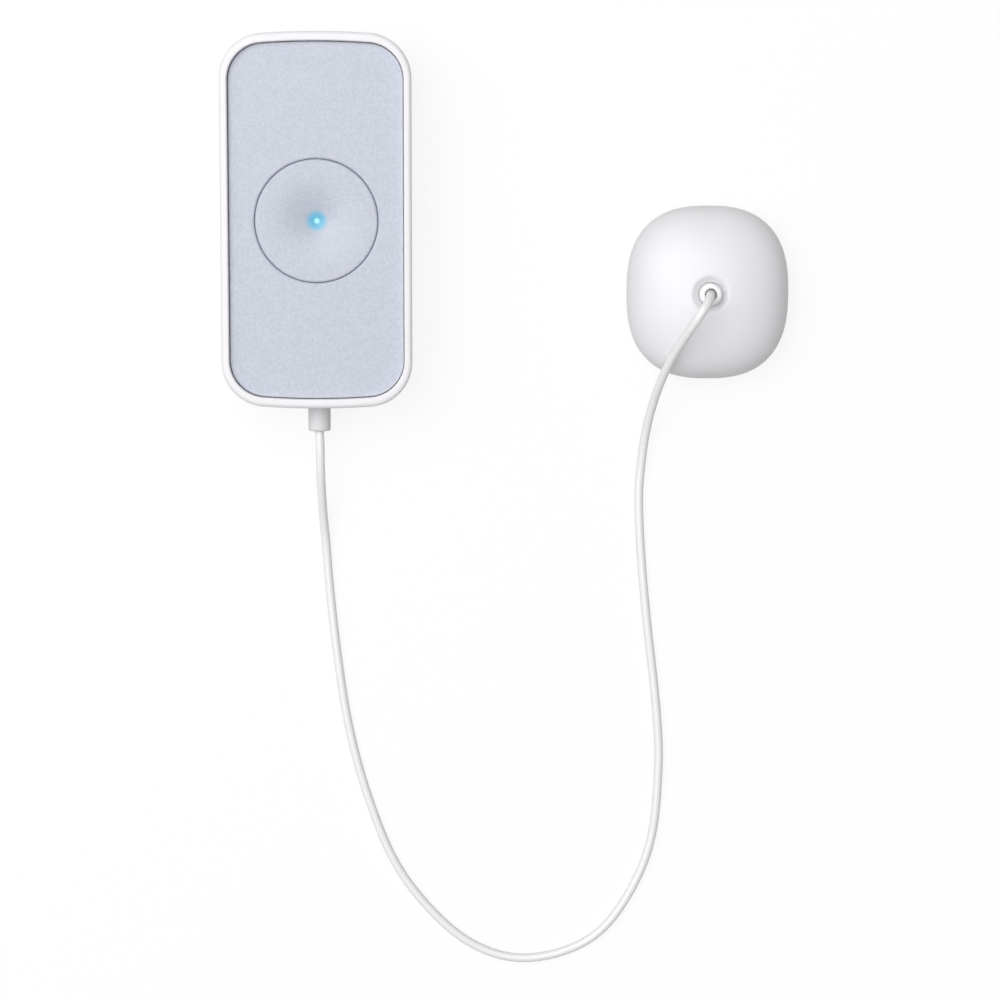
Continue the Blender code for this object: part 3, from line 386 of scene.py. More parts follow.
RED_LEAD = Moulding("red_lead_skin", (0.55, 0.05, 0.04), roughness=0.5, drift=0.1)
STEEL = BrushedMetal("bright_steel", (0.64, 0.64, 0.62))
GOLD = BrushedMetal("plated_contact", (0.83, 0.64, 0.32), roughness=0.22)
BOARD = SolderMask("board_green_mask", mask=(0.02, 0.16, 0.07), track=(0.05, 0.27, 0.12))


# Modelling helpers


@dataclass(frozen=True)
class Corner:
    """A corner of a section: how far across it lies, its height, and the radius that it is eased by."""

    across: float
    height: float
    ease: float = 0.0


def eased(corners: Sequence[Corner], closed: bool = False) -> list[Place]:
    """Turn a section's corners into points, with an arc at each eased corner.

    Args:
        corners: The section's corners, in order.
        closed: Whether the last corner leads back to the first.

    Returns:
        (across, height) points along the section.
    """
    points = []
    for i, corner in enumerate(corners):
        here = Vector((corner.across, corner.height))
        if corner.ease == 0 or (not closed and i in (0, len(corners) - 1)):
            points.append(here)
            continue
        before = Vector((corners[i - 1].across, corners[i - 1].height)) - here
        following = corners[(i + 1) % len(corners)]
        after = Vector((following.across, following.height)) - here
        half = before.angle(after) / 2
        room = min(before.length, after.length) / 2
        cut = min(corner.ease / math.tan(half), room - HOLD / 4)
        middle = (before.normalized() + after.normalized()).normalized() * (cut / math.cos(half))
        start = before.normalized() * cut - middle
        end = after.normalized() * cut - middle
        turn = math.copysign(math.pi - 2 * half, start.x * end.y - start.y * end.x)
        steps = max(2, math.ceil(abs(turn) / ARC_STEP))
        if room - cut > HOLD:
            points.append(here + before.normalized() * (cut + HOLD))
        for k in range(steps + 1):
            cosine, sine = math.cos(turn * k / steps), math.sin(turn * k / steps)
            spoke = Vector((start.x * cosine - start.y * sine, start.x * sine + start.y * cosine))
            points.append(here + middle + spoke)
        if room - cut > HOLD:
            points.append(here + after.normalized() * (cut + HOLD))
    return [(point.x, point.y) for point in points]


def spread(start: float, end: float, steps: int) -> list[float]:
    """Evenly spaced values from start to end, both included."""
    return [start + (end - start) * i / steps for i in range(steps + 1)]


def pick(piece: bpy.types.Object) -> None:
    """Select one piece alone and make it the active one."""
    bpy.ops.object.select_all(action="DESELECT")
    piece.select_set(True)
    bpy.context.view_layer.objects.active = piece


def own(kind: str) -> bpy.types.Modifier:
    """Add a modifier to the active piece."""
    bpy.ops.object.modifier_add(type=kind)
    return bpy.context.object.modifiers[-1]


def settle(piece: bpy.types.Object) -> bpy.types.Object:
    """Shade a finished piece: smooth over its curves, crisp at its edges, and true on its flats."""
    pick(piece)
    bpy.ops.object.shade_smooth_by_angle(angle=SMOOTH_ANGLE)
    weighting = own("WEIGHTED_NORMAL")
    weighting.keep_sharp = True
    bpy.ops.object.modifier_apply(modifier=weighting.name)
    return piece


class Skin:
    """A closed shell grown from a circle primitive, by extruding its live edge loop ring after ring."""

    def __init__(self, name: str, first: Ring) -> None:
        """Add the circle, number its points and place them on the first ring.

        Args:
            name: Name of the piece.
            first: Where the circle's points go.
        """
        bpy.ops.object.select_all(action="DESELECT")
        bpy.ops.mesh.primitive_circle_add(vertices=len(first), radius=MM, location=(0, 0, 0))
        self.piece = bpy.context.object
        self.piece.name = name
        self.piece.data.name = name
        self.first = first
        self.row = 0
        bpy.ops.object.mode_set(mode="EDIT")
        bpy.ops.mesh.select_mode(type="VERT")
        bpy.ops.mesh.select_all(action="SELECT")
        mesh = bmesh.from_edit_mesh(self.piece.data)
        slots = mesh.verts.layers.int.new("slot")
        mesh.verts.layers.int.new("row")
        for number, vert in enumerate(mesh.verts):
            vert[slots] = number
        self._place_live_loop(first)

    def _place_live_loop(self, ring: Ring) -> None:
        """Move each selected point to its place on a ring, and note its row."""
        mesh = bmesh.from_edit_mesh(self.piece.data)
        slots = mesh.verts.layers.int["slot"]
        rows = mesh.verts.layers.int["row"]
        for vert in mesh.verts:
            if vert.select:
                vert[rows] = self.row
                vert.co = ring[vert[slots]]
        bmesh.update_edit_mesh(self.piece.data)

    def grow(self, ring: Ring) -> None:
        """Extrude the live loop onto the next ring."""
        bpy.ops.mesh.extrude_region_move()
        self.row += 1
        self._place_live_loop(ring)

    def _finish_loop(self, row: int, end: End) -> None:
        """Fill one row with a flat cap, or draw it together to a point."""
        bpy.ops.mesh.select_all(action="DESELECT")
        mesh = bmesh.from_edit_mesh(self.piece.data)
        rows = mesh.verts.layers.int["row"]
        for vert in mesh.verts:
            vert.select = vert[rows] == row
        mesh.select_flush_mode()
        bmesh.update_edit_mesh(self.piece.data)
        if end is End.CAP:
            bpy.ops.mesh.edge_face_add()
        else:
            bpy.ops.mesh.merge(type="CENTER")

    def finish(self, start: End | None, end: End | None) -> bpy.types.Object:
        """Close the shell and turn its faces outwards.

        Args:
            start: How the first ring is finished, or None where the last ring leads back to it.
            end: How the last ring is finished, or None in the same case.

        Returns:
            The piece, in object mode.
        """
        if start is None:
            self.grow(self.first)
            bpy.ops.mesh.select_all(action="SELECT")
            bpy.ops.mesh.remove_doubles(threshold=MM / 5000)
        else:
            self._finish_loop(self.row, end)
            self._finish_loop(0, start)
        bpy.ops.mesh.select_all(action="SELECT")
        bpy.ops.mesh.normals_make_consistent(inside=False)
        mesh = bmesh.from_edit_mesh(self.piece.data)
        for name in ("slot", "row"):
            mesh.verts.layers.int.remove(mesh.verts.layers.int[name])
        bmesh.update_edit_mesh(self.piece.data)
        bpy.ops.object.mode_set(mode="OBJECT")
        return self.piece


def shell(
    name: str, rings: Iterable[Ring], start: End | None = None, end: End | None = None
) -> bpy.types.Object:
    """Grow a shell through rings of equal length.

    Args:
        name: Name of the piece.
        rings: The rings in order.
        start: How the first ring is finished, or None for a shell that closes on itself.
        end: How the last ring is finished, or None in the same case.

    Returns:
        The piece.
    """
    first, *rest = rings
    skin = Skin(name, first)
    for ring in rest:
        skin.grow(ring)
    return skin.finish(start, end)


def turned(middle: Vector, points: int, along: Vector = Vector((0, 0, 1))) -> RingMaker:
    """A maker of round rings about an axis.

    Args:
        middle: Where the axis starts.
        points: Points on each ring.
        along: Direction of the axis, +Z or along the ground.

    Returns:
        A function from a radius and a distance along the axis to a ring.
    """
    side = Vector((1, 0, 0))
    up = along.cross(side)
    turns = [2 * math.pi * i / points for i in range(points)]

    def ring(radius: float, distance: float) -> Ring:
        """One round ring."""
        base = middle + along * distance
        return [base + (side * math.cos(a) + up * math.sin(a)) * radius for a in turns]

    return ring


def rods(places: Sequence[Place], radius: float, low: float, high: float) -> bpy.types.Object:
    """Upright rods, joined into one tool shape.

    Args:
        places: The (x, y) place of each rod.
        radius: Their radius.
        low: Height of their lower ends.
        high: Height of their upper ends.

    Returns:
        The tool shape.
    """
    made = []
    for x, y in places:
        bpy.ops.mesh.primitive_cylinder_add(
            vertices=ROD_POINTS, radius=radius, depth=high - low, location=(x, y, (low + high) / 2)
        )
        made.append(bpy.context.object)
    bpy.ops.object.select_all(action="DESELECT")
    for rod in made:
        rod.select_set(True)
    bpy.context.view_layer.objects.active = made[0]
    if len(made) > 1:
        bpy.ops.object.join()
    return bpy.context.object


def combine(piece: bpy.types.Object, tool: bpy.types.Object, join: Join) -> None:
    """Join a tool shape to a piece, or cut it out, and remove the tool.

    Args:
        piece: The piece, which changes.
        tool: The tool shape.
        join: What it does to the piece.
    """
    pick(piece)
    step = own("BOOLEAN")
    step.operation = join.value
    step.solver = "EXACT"
    step.object = tool
    bpy.ops.object.modifier_apply(modifier=step.name)
    bpy.data.objects.remove(tool, do_unlink=True)


def four_places(x: float, y: float) -> list[Place]:
    """One place in each quarter of the plan."""
    return [(sx * x, sy * y) for sx in (1, -1) for sy in (1, -1)]


def plan_places(nodes: Sequence[str]) -> list[Place]:
    """The (x, y) middle of each node's box in the frame."""
    boxes = [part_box(node) for node in nodes]
    return [((low.x + high.x) / 2, (low.y + high.y) / 2) for low, high in boxes]


PINS = tuple(f"probe_contact_{number}" for number in (1, 2, 3, 4))


def hand_over(piece: bpy.types.Object, node: str, body: Body, finish: Finish) -> None:
    """Dress a new piece, let it stand for a node of the frame, and let it ride on its body.

    Args:
        piece: The new piece.
        node: The node that it stands for.
        body: The body that it rides on.
        finish: What it is dressed in.
    """
    piece.data.materials.clear()
    piece.data.materials.append(finish.material())
    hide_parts(node)
    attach(piece, body.value)
    log.info("%s stands for %s", piece.name, node)


def hand_over_set(first: bpy.types.Object, name: str, nodes: Sequence[str], finish: Finish) -> None:
    """Copy a piece, modelled for the first node of a set, to the other nodes, and dress them all.

    Args:
        first: The piece of the first node.
        name: Name of the pieces, without their numbers.
        nodes: The nodes that they stand for.
        finish: What they are dressed in.
    """
    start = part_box(nodes[0])[0]
    pieces = [first]
    for number, node in enumerate(nodes[1:], start=2):
        piece = first.copy()
        piece.data = first.data.copy()
        piece.name = f"{name}_{number}"
        bpy.context.collection.objects.link(piece)
        piece.data.transform(Matrix.Translation(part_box(node)[0] - start))
        pieces.append(piece)
    for piece, node in zip(pieces, nodes):
        hand_over(piece, node, Body.HOST, finish)


# Sub-assemblies


@dataclass
class HostCase:
    """The host's white frame, its rear cover and the satin panel between them."""

    corner_radius: float = 9.0 * MM
    end_radius: float = 155.0 * MM
    side_wall: float = 1.55 * MM
    end_wall: float = 1.85 * MM
    draft: float = math.radians(1.7)
    rim_ease: float = 0.75 * MM
    inner_ease: float = 0.25 * MM
    edge_ease: float = 0.2 * MM
    ledge_reach: float = 1.3 * MM
    ledge_thickness: float = 1.2 * MM
    seat_gap: float = 0.3 * MM
    panel_side_gap: float = 0.16 * MM
    opening_radius: float = 12.43 * MM
    opening_ease: float = 0.42 * MM
    cover_floor: float = 1.6 * MM
    cover_ease: float = 0.6 * MM
    lip_height: float = 2.1 * MM
    lip_thickness: float = 1.0 * MM
    boss_inset: float = 4.8 * MM
    boss_radius: float = 2.2 * MM
    pilot_radius: float = 0.95 * MM
    post_radius: float = 2.1 * MM
    pad_inset: float = 2.2 * MM
    edge_band: float = 1.0 * MM
    sleeve_hole: float = 2.58 * MM
    hole_points: int = 96
    corner_steps: int = 26
    end_steps: int = 16
    side_steps: int = 28

    def __post_init__(self) -> None:
        """Read the main sizes from the frame."""
        low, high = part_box("front_bezel")
        self.half_width = high.x
        self.half_length = high.y
        self.top = high.z
        self.parting = low.z
        self.cover_edge = self.parting - self.seat_gap
        panel_low, panel_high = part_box("front_panel")
        self.panel_low = panel_low.z
        self.panel_top = panel_high.z
        self.screw_places = four_places(self.half_width - self.boss_inset, self.half_length - self.boss_inset)

    def outline(self, inset: float, height: float) -> Ring:
        """The host's plan outline at a height, drawn in by an inset.

        Args:
            inset: How far the sides are drawn in. The ends follow, through their thicker walls.
            height: Height of the ring.

        Returns:
            The ring, from the middle of the right side round to the left.
        """
        end_inset = inset + min(inset / self.side_wall, 1.0) * (self.end_wall - self.side_wall)
        corner = self.corner_radius - inset
        end_radius = self.end_radius - end_inset
        across = self.half_width - inset - corner
        bow_centre = self.half_length - end_inset - end_radius
        reach = math.sqrt((end_radius - corner) ** 2 - across**2)
        handover = math.atan2(reach, across)
        shoulder = bow_centre + reach
        quarter = [(across + corner, shoulder * i / self.side_steps) for i in range(self.side_steps)]
        quarter += [
            (across + corner * math.cos(a), shoulder + corner * math.sin(a))
            for a in spread(0, handover, self.corner_steps)
        ]
        quarter += [
            (end_radius * math.cos(a), bow_centre + end_radius * math.sin(a))
            for a in spread(handover, math.pi / 2, self.end_steps)[1:]
        ]
        upper = quarter + [(-x, y) for x, y in reversed(quarter[:-1])]
        lower = [(x, -y) for x, y in reversed(upper[1:-1])]
        return [Vector((x, y, height)) for x, y in upper + lower]

    def case_ring(self, inset: float, height: float) -> Ring:
        """An outline of the case, whose outer wall leans in towards the back."""
        lean = max(0.0, self.top - self.rim_ease - height) * math.tan(self.draft)
        return self.outline(inset + lean * max(0.0, 1 - inset / self.side_wall), height)

    def build_bezel(self) -> None:
        """Frame and side wall: eased rim, ledge for the panel, screw bosses and the sleeve's hole."""
        inner = self.side_wall
        ledge_top = self.panel_low - self.seat_gap
        ledge_low = ledge_top - self.ledge_thickness
        section = [
            Corner(inner, self.parting),
            Corner(0, self.parting, self.edge_ease),
            Corner(0, self.top, self.rim_ease),
            Corner(inner, self.top, self.inner_ease),
            Corner(inner, ledge_top),
            Corner(inner + self.ledge_reach, ledge_top, self.edge_ease),
            Corner(inner + self.ledge_reach, ledge_low, self.edge_ease),
            Corner(inner, ledge_low),
        ]
        rings = [self.case_ring(inset, height) for inset, height in eased(section, closed=True)]
        bezel = shell("bezel_moulding", rings)
        boss_low = self.parting + self.seat_gap
        combine(bezel, rods(self.screw_places, self.boss_radius, boss_low, ledge_low + MERGE), Join.ADD)
        combine(bezel, rods(self.screw_places, self.pilot_radius, 0, ledge_low - MERGE), Join.CUT)
        bpy.ops.mesh.primitive_cylinder_add(
            vertices=self.hole_points,
            radius=self.sleeve_hole,
            depth=4 * self.end_wall,
            location=(0, -self.half_length, self.top / 2),
            rotation=(math.pi / 2, 0, 0),
        )
        combine(bezel, bpy.context.object, Join.CUT)
        hand_over(settle(bezel), "front_bezel", Body.HOST, WHITE)

    def build_cover(self) -> None:
        """Tray that closes the back, with its lip, board posts, cell pad and sunk screw holes."""
        lip_out = self.side_wall + self.seat_gap
        lip_in = lip_out + self.lip_thickness
        lip_top = self.cover_edge + self.lip_height
        section = [
            Corner(self.corner_radius / 2, 0),
            Corner(0, 0, self.cover_ease),
            Corner(0, self.cover_edge, self.edge_ease),
            Corner(lip_out, self.cover_edge),
            Corner(lip_out, lip_top, self.edge_ease),
            Corner(lip_in, lip_top, self.edge_ease),
            Corner(lip_in, self.cover_floor, self.edge_ease),
            Corner(self.corner_radius / 2, self.cover_floor),
        ]
        rings = [self.case_ring(inset, height) for inset, height in eased(section)]
        cover = shell("cover_moulding", rings, End.CAP, End.CAP)
        room = rods(self.screw_places, self.boss_radius + self.seat_gap, self.cover_edge, 2 * lip_top)
        combine(cover, room, Join.CUT)
        board_low, board_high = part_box("circuit_board")
        screw_low, screw_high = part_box("board_screw_1")
        post = (screw_low + screw_high) / 2
        root = self.cover_floor - MERGE
        posts = rods(four_places(post.x, post.y), self.post_radius, root, board_low.z - self.seat_gap)
        combine(cover, posts, Join.ADD)
        cell_low, cell_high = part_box("coin_cell")
        cell = (cell_low + cell_high) / 2
        pad_radius = cell_high.x - self.pad_inset
        combine(cover, rods([(cell.x, cell.y)], pad_radius, root, cell_low.z - self.seat_gap), Join.ADD)
        used = [(post.x, post.y), (-post.x, -post.y)]
        combine(cover, rods(used, self.pilot_radius, self.cover_floor + MERGE, board_high.z), Join.CUT)
        combine(cover, rods(self.screw_places, self.pilot_radius, -PAST, 2 * lip_top), Join.CUT)
        combine(cover, rods(self.screw_places, WELL_RADIUS, -PAST, WELL_DEPTH), Join.CUT)
        hand_over(settle(cover), "rear_cover", Body.HOST, WHITE)

    def build_panel(self) -> None:
        """Satin plate in the frame, with the button's round opening."""
        inset = self.side_wall + self.panel_side_gap
        edge = [
            Corner(inset + self.edge_band, self.panel_low),
            Corner(inset, self.panel_low, self.edge_ease / 2),
            Corner(inset, self.panel_top, self.edge_ease),
            Corner(inset + self.edge_band, self.panel_top),
        ]
        mouth = [
            Corner(self.opening_radius + self.edge_band, self.panel_top),
            Corner(self.opening_radius, self.panel_top, self.opening_ease),
            Corner(self.opening_radius, self.panel_low, self.edge_ease / 2),
            Corner(self.opening_radius + self.edge_band, self.panel_low),
        ]
        outer = [self.outline(across, height) for across, height in eased(edge)]
        opening = [self.opening(radius, height) for radius, height in eased(mouth)]
        panel = shell("panel_plate", outer + opening)
        hand_over(settle(panel), "front_panel", Body.HOST, PANEL)

    def opening(self, radius: float, height: float) -> Ring:
        """A round ring whose points face those of the outline."""
        return [Vector((*point.to_2d().normalized() * radius, height)) for point in self.outline(0, 0)]

    def build(self) -> None:
        """Build and dress the whole case."""
        self.build_bezel()
        self.build_cover()
        self.build_panel()


@dataclass
class PressButton:
    """The dished button cap and the light guide in its middle, which travel together."""

    dish_radius: float = 11.0 * MM
    dish_depth: float = 2.4 * MM
    dish_power: float = 2.4
    dish_core: float = 1.0 * MM
    dish_steps: int = 44
    top_wall: float = 1.2 * MM
    side_wall: float = 1.6 * MM
    hub_radius: float = 4.5 * MM
    hub_drop: float = 2.3 * MM
    flange_reach: float = 1.5 * MM
    edge_ease: float = 0.24 * MM
    face_ease: float = 0.42 * MM
    running_fit: float = 0.09 * MM
    guide_gap: float = 0.02 * MM
    guide_radius: float = 1.2 * MM
    collar_gap: float = 0.1 * MM
    collar_height: float = 0.7 * MM
    nib_radius: float = 1.3 * MM
    seat_gap: float = 0.3 * MM
    flange_thickness: float = 0.8 * MM
    dish_margin: float = 0.3 * MM
    points: int = 240
    guide_points: int = 96
    guide_steps: int = 12

    def __post_init__(self) -> None:
        """Read the main sizes from the frame."""
        low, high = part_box("button_cap")
        self.face = high.z
        self.flange_radius = high.x
        self.radius = high.x - self.flange_reach + self.running_fit
        self.guide_low, guide_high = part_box("light_guide")
        self.collar_radius = guide_high.x
        plunger_low, plunger_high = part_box("switch_plunger")
        self.nib_place = (plunger_low + plunger_high) / 2
        self.nib_end = low.z
        self.hub_end = self.face - self.hub_drop
        self.flange_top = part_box("front_panel")[0].z - self.seat_gap
        self.flange_low = self.flange_top - self.flange_thickness

    def dish(self, radius: float) -> float:
        """Height of the cap's face at a distance from its middle: a hollow that steepens inwards."""
        share = math.hypot(radius, self.dish_core) / self.dish_radius
        return self.face - self.dish_depth * max(0.0, 1 - share) ** self.dish_power

    def build_cap(self) -> None:
        """Cap with its dish, hub, retaining flange and the nib over the switch."""
        ring = turned(Vector((0, 0, 0)), self.points)
        hole = self.guide_radius + self.guide_gap
        ceiling = self.face - self.top_wall
        inner = self.radius - self.side_wall
        section = [
            Corner(hole, self.hub_end, self.edge_ease / 4),
            Corner(self.hub_radius, self.hub_end, self.edge_ease),
            Corner(self.hub_radius, ceiling, self.edge_ease),
            Corner(inner, ceiling, self.edge_ease),
            Corner(inner, self.flange_low, self.edge_ease),
            Corner(self.flange_radius, self.flange_low, self.edge_ease),
            Corner(self.flange_radius, self.flange_top, self.edge_ease),
            Corner(self.radius, self.flange_top, self.edge_ease / 2),
            Corner(self.radius, self.face, self.face_ease),
            Corner(self.dish_radius + self.dish_margin, self.face),
        ]
        profile = eased(section)
        profile += [(r, self.dish(r)) for r in spread(self.dish_radius, hole, self.dish_steps)]
        cap = shell("button_moulding", [ring(radius, height) for radius, height in profile])
        nib = rods([(0, self.nib_place.y)], self.nib_radius, self.nib_end, ceiling + MERGE)
        combine(cap, nib, Join.ADD)
        hand_over(settle(cap), "button_cap", Body.BUTTON, CAP)

    def build_guide(self) -> None:
        """Clear pin with a collar under the hub, and a face that carries on the dish."""
        ring = turned(Vector((0, 0, 0)), self.guide_points)
        collar_top = self.hub_end - self.collar_gap
        section = [
            Corner(POLE, self.guide_low.z),
            Corner(self.guide_radius, self.guide_low.z, self.edge_ease),
            Corner(self.guide_radius, collar_top - self.collar_height, self.edge_ease / 2),
            Corner(self.collar_radius, collar_top - self.collar_height, self.edge_ease),
            Corner(self.collar_radius, collar_top, self.edge_ease),
            Corner(self.guide_radius, collar_top, self.edge_ease / 2),
            Corner(self.guide_radius, self.dish(self.guide_radius)),
        ]
        profile = eased(section)
        profile += [(r, self.dish(r)) for r in spread(self.guide_radius, FINE_POLE, self.guide_steps)[1:]]
        guide = shell("guide_pin", [ring(radius, height) for radius, height in profile], End.CAP, End.POLE)
        hand_over(settle(guide), "light_guide", Body.BUTTON, GUIDE)

    def build(self) -> None:
        """Build and dress the button."""
        self.build_cap()
        self.build_guide()


@dataclass
class Screws:
    """Pan-head screws with a cross recess, one pattern for all lengths."""

    radius: float = 0.8 * MM
    head_radius: float = 1.5 * MM
    head_height: float = 0.9 * MM
    head_ease: float = 0.35 * MM
    seat_ease: float = 0.08 * MM
    slot_width: float = 0.42 * MM
    slot_length: float = 1.7 * MM
    slot_depth: float = 0.5 * MM
    points: int = 72

    def build_one(self, name: str, node: str) -> bpy.types.Object:
        """Model the screw of one node at its place.

        Args:
            name: Name of the piece.
            node: The node that it stands for, which gives its place, length and direction.

        Returns:
            The finished piece.
        """
        low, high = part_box(node)
        middle = (low + high) / 2
        head_down = node.startswith(("case_screw", "probe_screw"))
        outer, inner = (low.z, high.z) if head_down else (high.z, low.z)
        inwards = 1 if inner > outer else -1
        seat = outer + inwards * self.head_height
        section = [
            Corner(FINE_POLE, outer),
            Corner(self.head_radius, outer, self.head_ease),
            Corner(self.head_radius, seat, self.seat_ease),
            Corner(self.radius, seat, self.seat_ease),
            Corner(self.radius, inner - inwards * self.radius),
            Corner(FINE_POLE, inner),
        ]
        ring = turned(Vector((middle.x, middle.y, 0)), self.points)
        rings = [ring(radius, height) for radius, height in eased(section)]
        screw = shell(name, rings, End.CAP, End.CAP)
        for size in ((self.slot_length, self.slot_width), (self.slot_width, self.slot_length)):
            bpy.ops.mesh.primitive_cube_add(size=1, location=(middle.x, middle.y, outer))
            blade = bpy.context.object
            blade.scale = (*size, 2 * self.slot_depth)
            bpy.ops.object.transform_apply(location=False, rotation=False, scale=True)
            combine(screw, blade, Join.CUT)
        return settle(screw)

    def build(self) -> None:
        """Build and dress every screw, modelled once for each length and copied."""
        for kind, count in (("case_screw", 4), ("board_screw", 2), ("probe_screw", 2)):
            nodes = [f"{kind}_{number}" for number in range(1, count + 1)]
            first = self.build_one(f"{kind}_body_1", nodes[0])
            hand_over_set(first, f"{kind}_body", nodes, STEEL)


@dataclass
class Probe:
    """The soft square dome on its base plate, its collar and the pins that stand on the floor."""

    squareness: float = 2.55
    dome_power: float = 2.3
    widest: float = 4.6 * MM
    tuck: float = 1.1 * MM
    wall: float = 1.7 * MM
    moat_radius: float = 3.9 * MM
    moat_depth: float = 1.7 * MM
    moat_steps: int = 18
    flange_height: float = 1.0 * MM
    seal_width: float = 1.0 * MM
    base_edge: float = 1.0 * MM
    seat_gap: float = 0.3 * MM
    edge_ease: float = 0.2 * MM
    boss_radius: float = 2.0 * MM
    pilot_radius: float = 0.95 * MM
    collar_radius: float = 2.3 * MM
    collar_fit: float = 0.08 * MM
    collar_ease: float = 0.5 * MM
    collar_rise: float = 1.1 * MM
    bore_radius: float = 1.2 * MM
    bore_depth: float = 2.6 * MM
    base_band: float = 4.0 * MM
    foot_height: float = 0.6 * MM
    pin_radius: float = 1.0 * MM
    pin_fit: float = 0.05 * MM
    sides: int = 192
    collar_points: int = 128
    pin_points: int = 72
    dome_steps: int = 44
    foot_steps: int = 14

    def __post_init__(self) -> None:
        """Read the main sizes from the frame."""
        low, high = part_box("probe_shell")
        self.middle = (low + high) / 2
        self.half_x = (high.x - low.x) / 2
        self.half_y = (high.y - low.y) / 2
        self.mean = (self.half_x + self.half_y) / 2
        self.standoff = low.z
        gland_low, gland_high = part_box("probe_gland")
        self.top = gland_high.z - self.collar_rise
        self.floor = self.top - self.moat_depth
        self.ceiling = gland_low.z + self.flange_height + self.seat_gap
        self.hole = self.collar_radius + self.collar_fit
        self.seal_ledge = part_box("probe_seal")[1].z + self.seat_gap

    def ring(self, height: float, scale: float, roundness: float, inset: float = 0.0) -> Ring:
        """The probe's plan outline at a height.

        Args:
            height: Height of the ring.
            scale: Its size as a share of the widest line.
            roundness: 0 for the soft square, 1 for a circle.
            inset: How far it is then drawn in.

        Returns:
            The ring.
        """
        half_x = scale * (self.half_x + (self.mean - self.half_x) * roundness) - inset
        half_y = scale * (self.half_y + (self.mean - self.half_y) * roundness) - inset
        power = self.squareness + (2 - self.squareness) * roundness
        ring = []
        for i in range(self.sides):
            a = 2 * math.pi * i / self.sides
            cosine, sine = math.cos(a), math.sin(a)
            reach = (abs(cosine / half_x) ** power + abs(sine / half_y) ** power) ** (-1 / power)
            ring.append(Vector((self.middle.x + reach * cosine, self.middle.y + reach * sine, height)))
        return ring

    def dome(self, top: float, centre_scale: float, inset: float, steps: int) -> list[Ring]:
        """Rings from the dome's widest line up to the moat or the hole in its middle.

        Args:
            top: Height that the dome would reach without them.
            centre_scale: Size of the last ring as a share of the widest line.
            inset: How far the dome lies inside the outer face.
            steps: How many steps the rings take.

        Returns:
            The rings.
        """
        last = math.acos(centre_scale ** (self.dome_power / 2))
        rings = []
        for a in spread(0, last, steps):
            scale = math.cos(a) ** (2 / self.dome_power)
            height = self.widest + (top - self.widest) * math.sin(a) ** (2 / self.dome_power)
            rings.append(self.ring(height, scale, (1 - scale) / (1 - centre_scale), inset * scale))
        return rings

    def foot(self) -> list[Ring]:
        """Rings of the wall that is drawn in under the widest line."""
        rings = []
        for height in spread(self.standoff + self.edge_ease, self.widest, self.foot_steps)[:-1]:
            drop = (self.widest - height) / (self.widest - self.standoff)
            rings.append(self.ring(height, 1, 0, self.tuck * drop**2))
        return rings

    def build_shell(self) -> None:
        """Dome in one moulding, with its moat, its hollow underside and two screw bosses."""
        seat = self.tuck + self.base_edge
        rim = self.dome(self.top, self.moat_radius / self.mean, 0, self.dome_steps)
        rim_height = rim[-1][0].z
        moat = []
        for share in spread(0, 1, self.moat_steps):
            drop = (rim_height - self.floor) * (4 * share - 1 + (1 - share) ** 4) / 3
            moat.append((self.moat_radius + (self.hole - self.moat_radius) * share, rim_height - drop))
        moat.append((self.hole, self.ceiling))
        hollow = self.dome(self.ceiling, self.hole / self.mean, self.wall, self.dome_steps // 2)[::-1][1:]
        rings = [
            self.ring(self.standoff, 1, 0, self.tuck + self.edge_ease),
            *self.foot(),
            *rim,
            *[self.ring(height, radius / self.mean, 1) for radius, height in moat[1:]],
            *hollow,
            self.ring(self.seal_ledge, 1, 0, seat + self.seal_width),
            self.ring(self.seal_ledge, 1, 0, seat),
            self.ring(self.standoff, 1, 0, seat),
        ]
        dome = shell("dome_moulding", rings)
        screw_low, screw_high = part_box("probe_screw_1")
        screw = (screw_low + screw_high) / 2
        boss_x = abs(screw.x - self.middle.x)
        places = [(self.middle.x + side * boss_x, self.middle.y) for side in (-1, 1)]
        share = (boss_x + self.boss_radius) / self.half_x
        rise = (1 - share**self.dome_power) ** (1 / self.dome_power)
        boss_top = self.widest + (self.top - self.widest) * rise - MERGE
        boss_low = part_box("probe_base")[1].z + self.seat_gap
        combine(dome, rods(places, self.boss_radius, boss_low, boss_top), Join.ADD)
        combine(dome, rods(places, self.pilot_radius, 0, screw_high.z + self.seat_gap), Join.CUT)
        hand_over(settle(dome), "probe_shell", Body.HOST, WHITE)

    def build_base(self) -> None:
        """Flat plate that closes the probe, with holes for the pins and sunk screw holes."""
        inset = self.tuck + self.base_edge + self.seat_gap
        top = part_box("probe_base")[1].z
        section = [
            Corner(inset + self.base_band, self.standoff),
            Corner(inset, self.standoff, self.edge_ease),
            Corner(inset, top, self.edge_ease),
            Corner(inset + self.base_band, top),
        ]
        rings = [self.ring(height, 1, 0, across) for across, height in eased(section)]
        base = shell("base_plate", rings, End.CAP, End.CAP)
        combine(base, rods(plan_places(PINS), self.pin_radius + self.pin_fit, 0, 2 * top), Join.CUT)
        screws = plan_places(("probe_screw_1", "probe_screw_2"))
        combine(base, rods(screws, self.pilot_radius, 0, 2 * top), Join.CUT)
        combine(base, rods(screws, WELL_RADIUS, 0, self.standoff + WELL_DEPTH), Join.CUT)
        hand_over(settle(base), "probe_base", Body.HOST, WHITE)

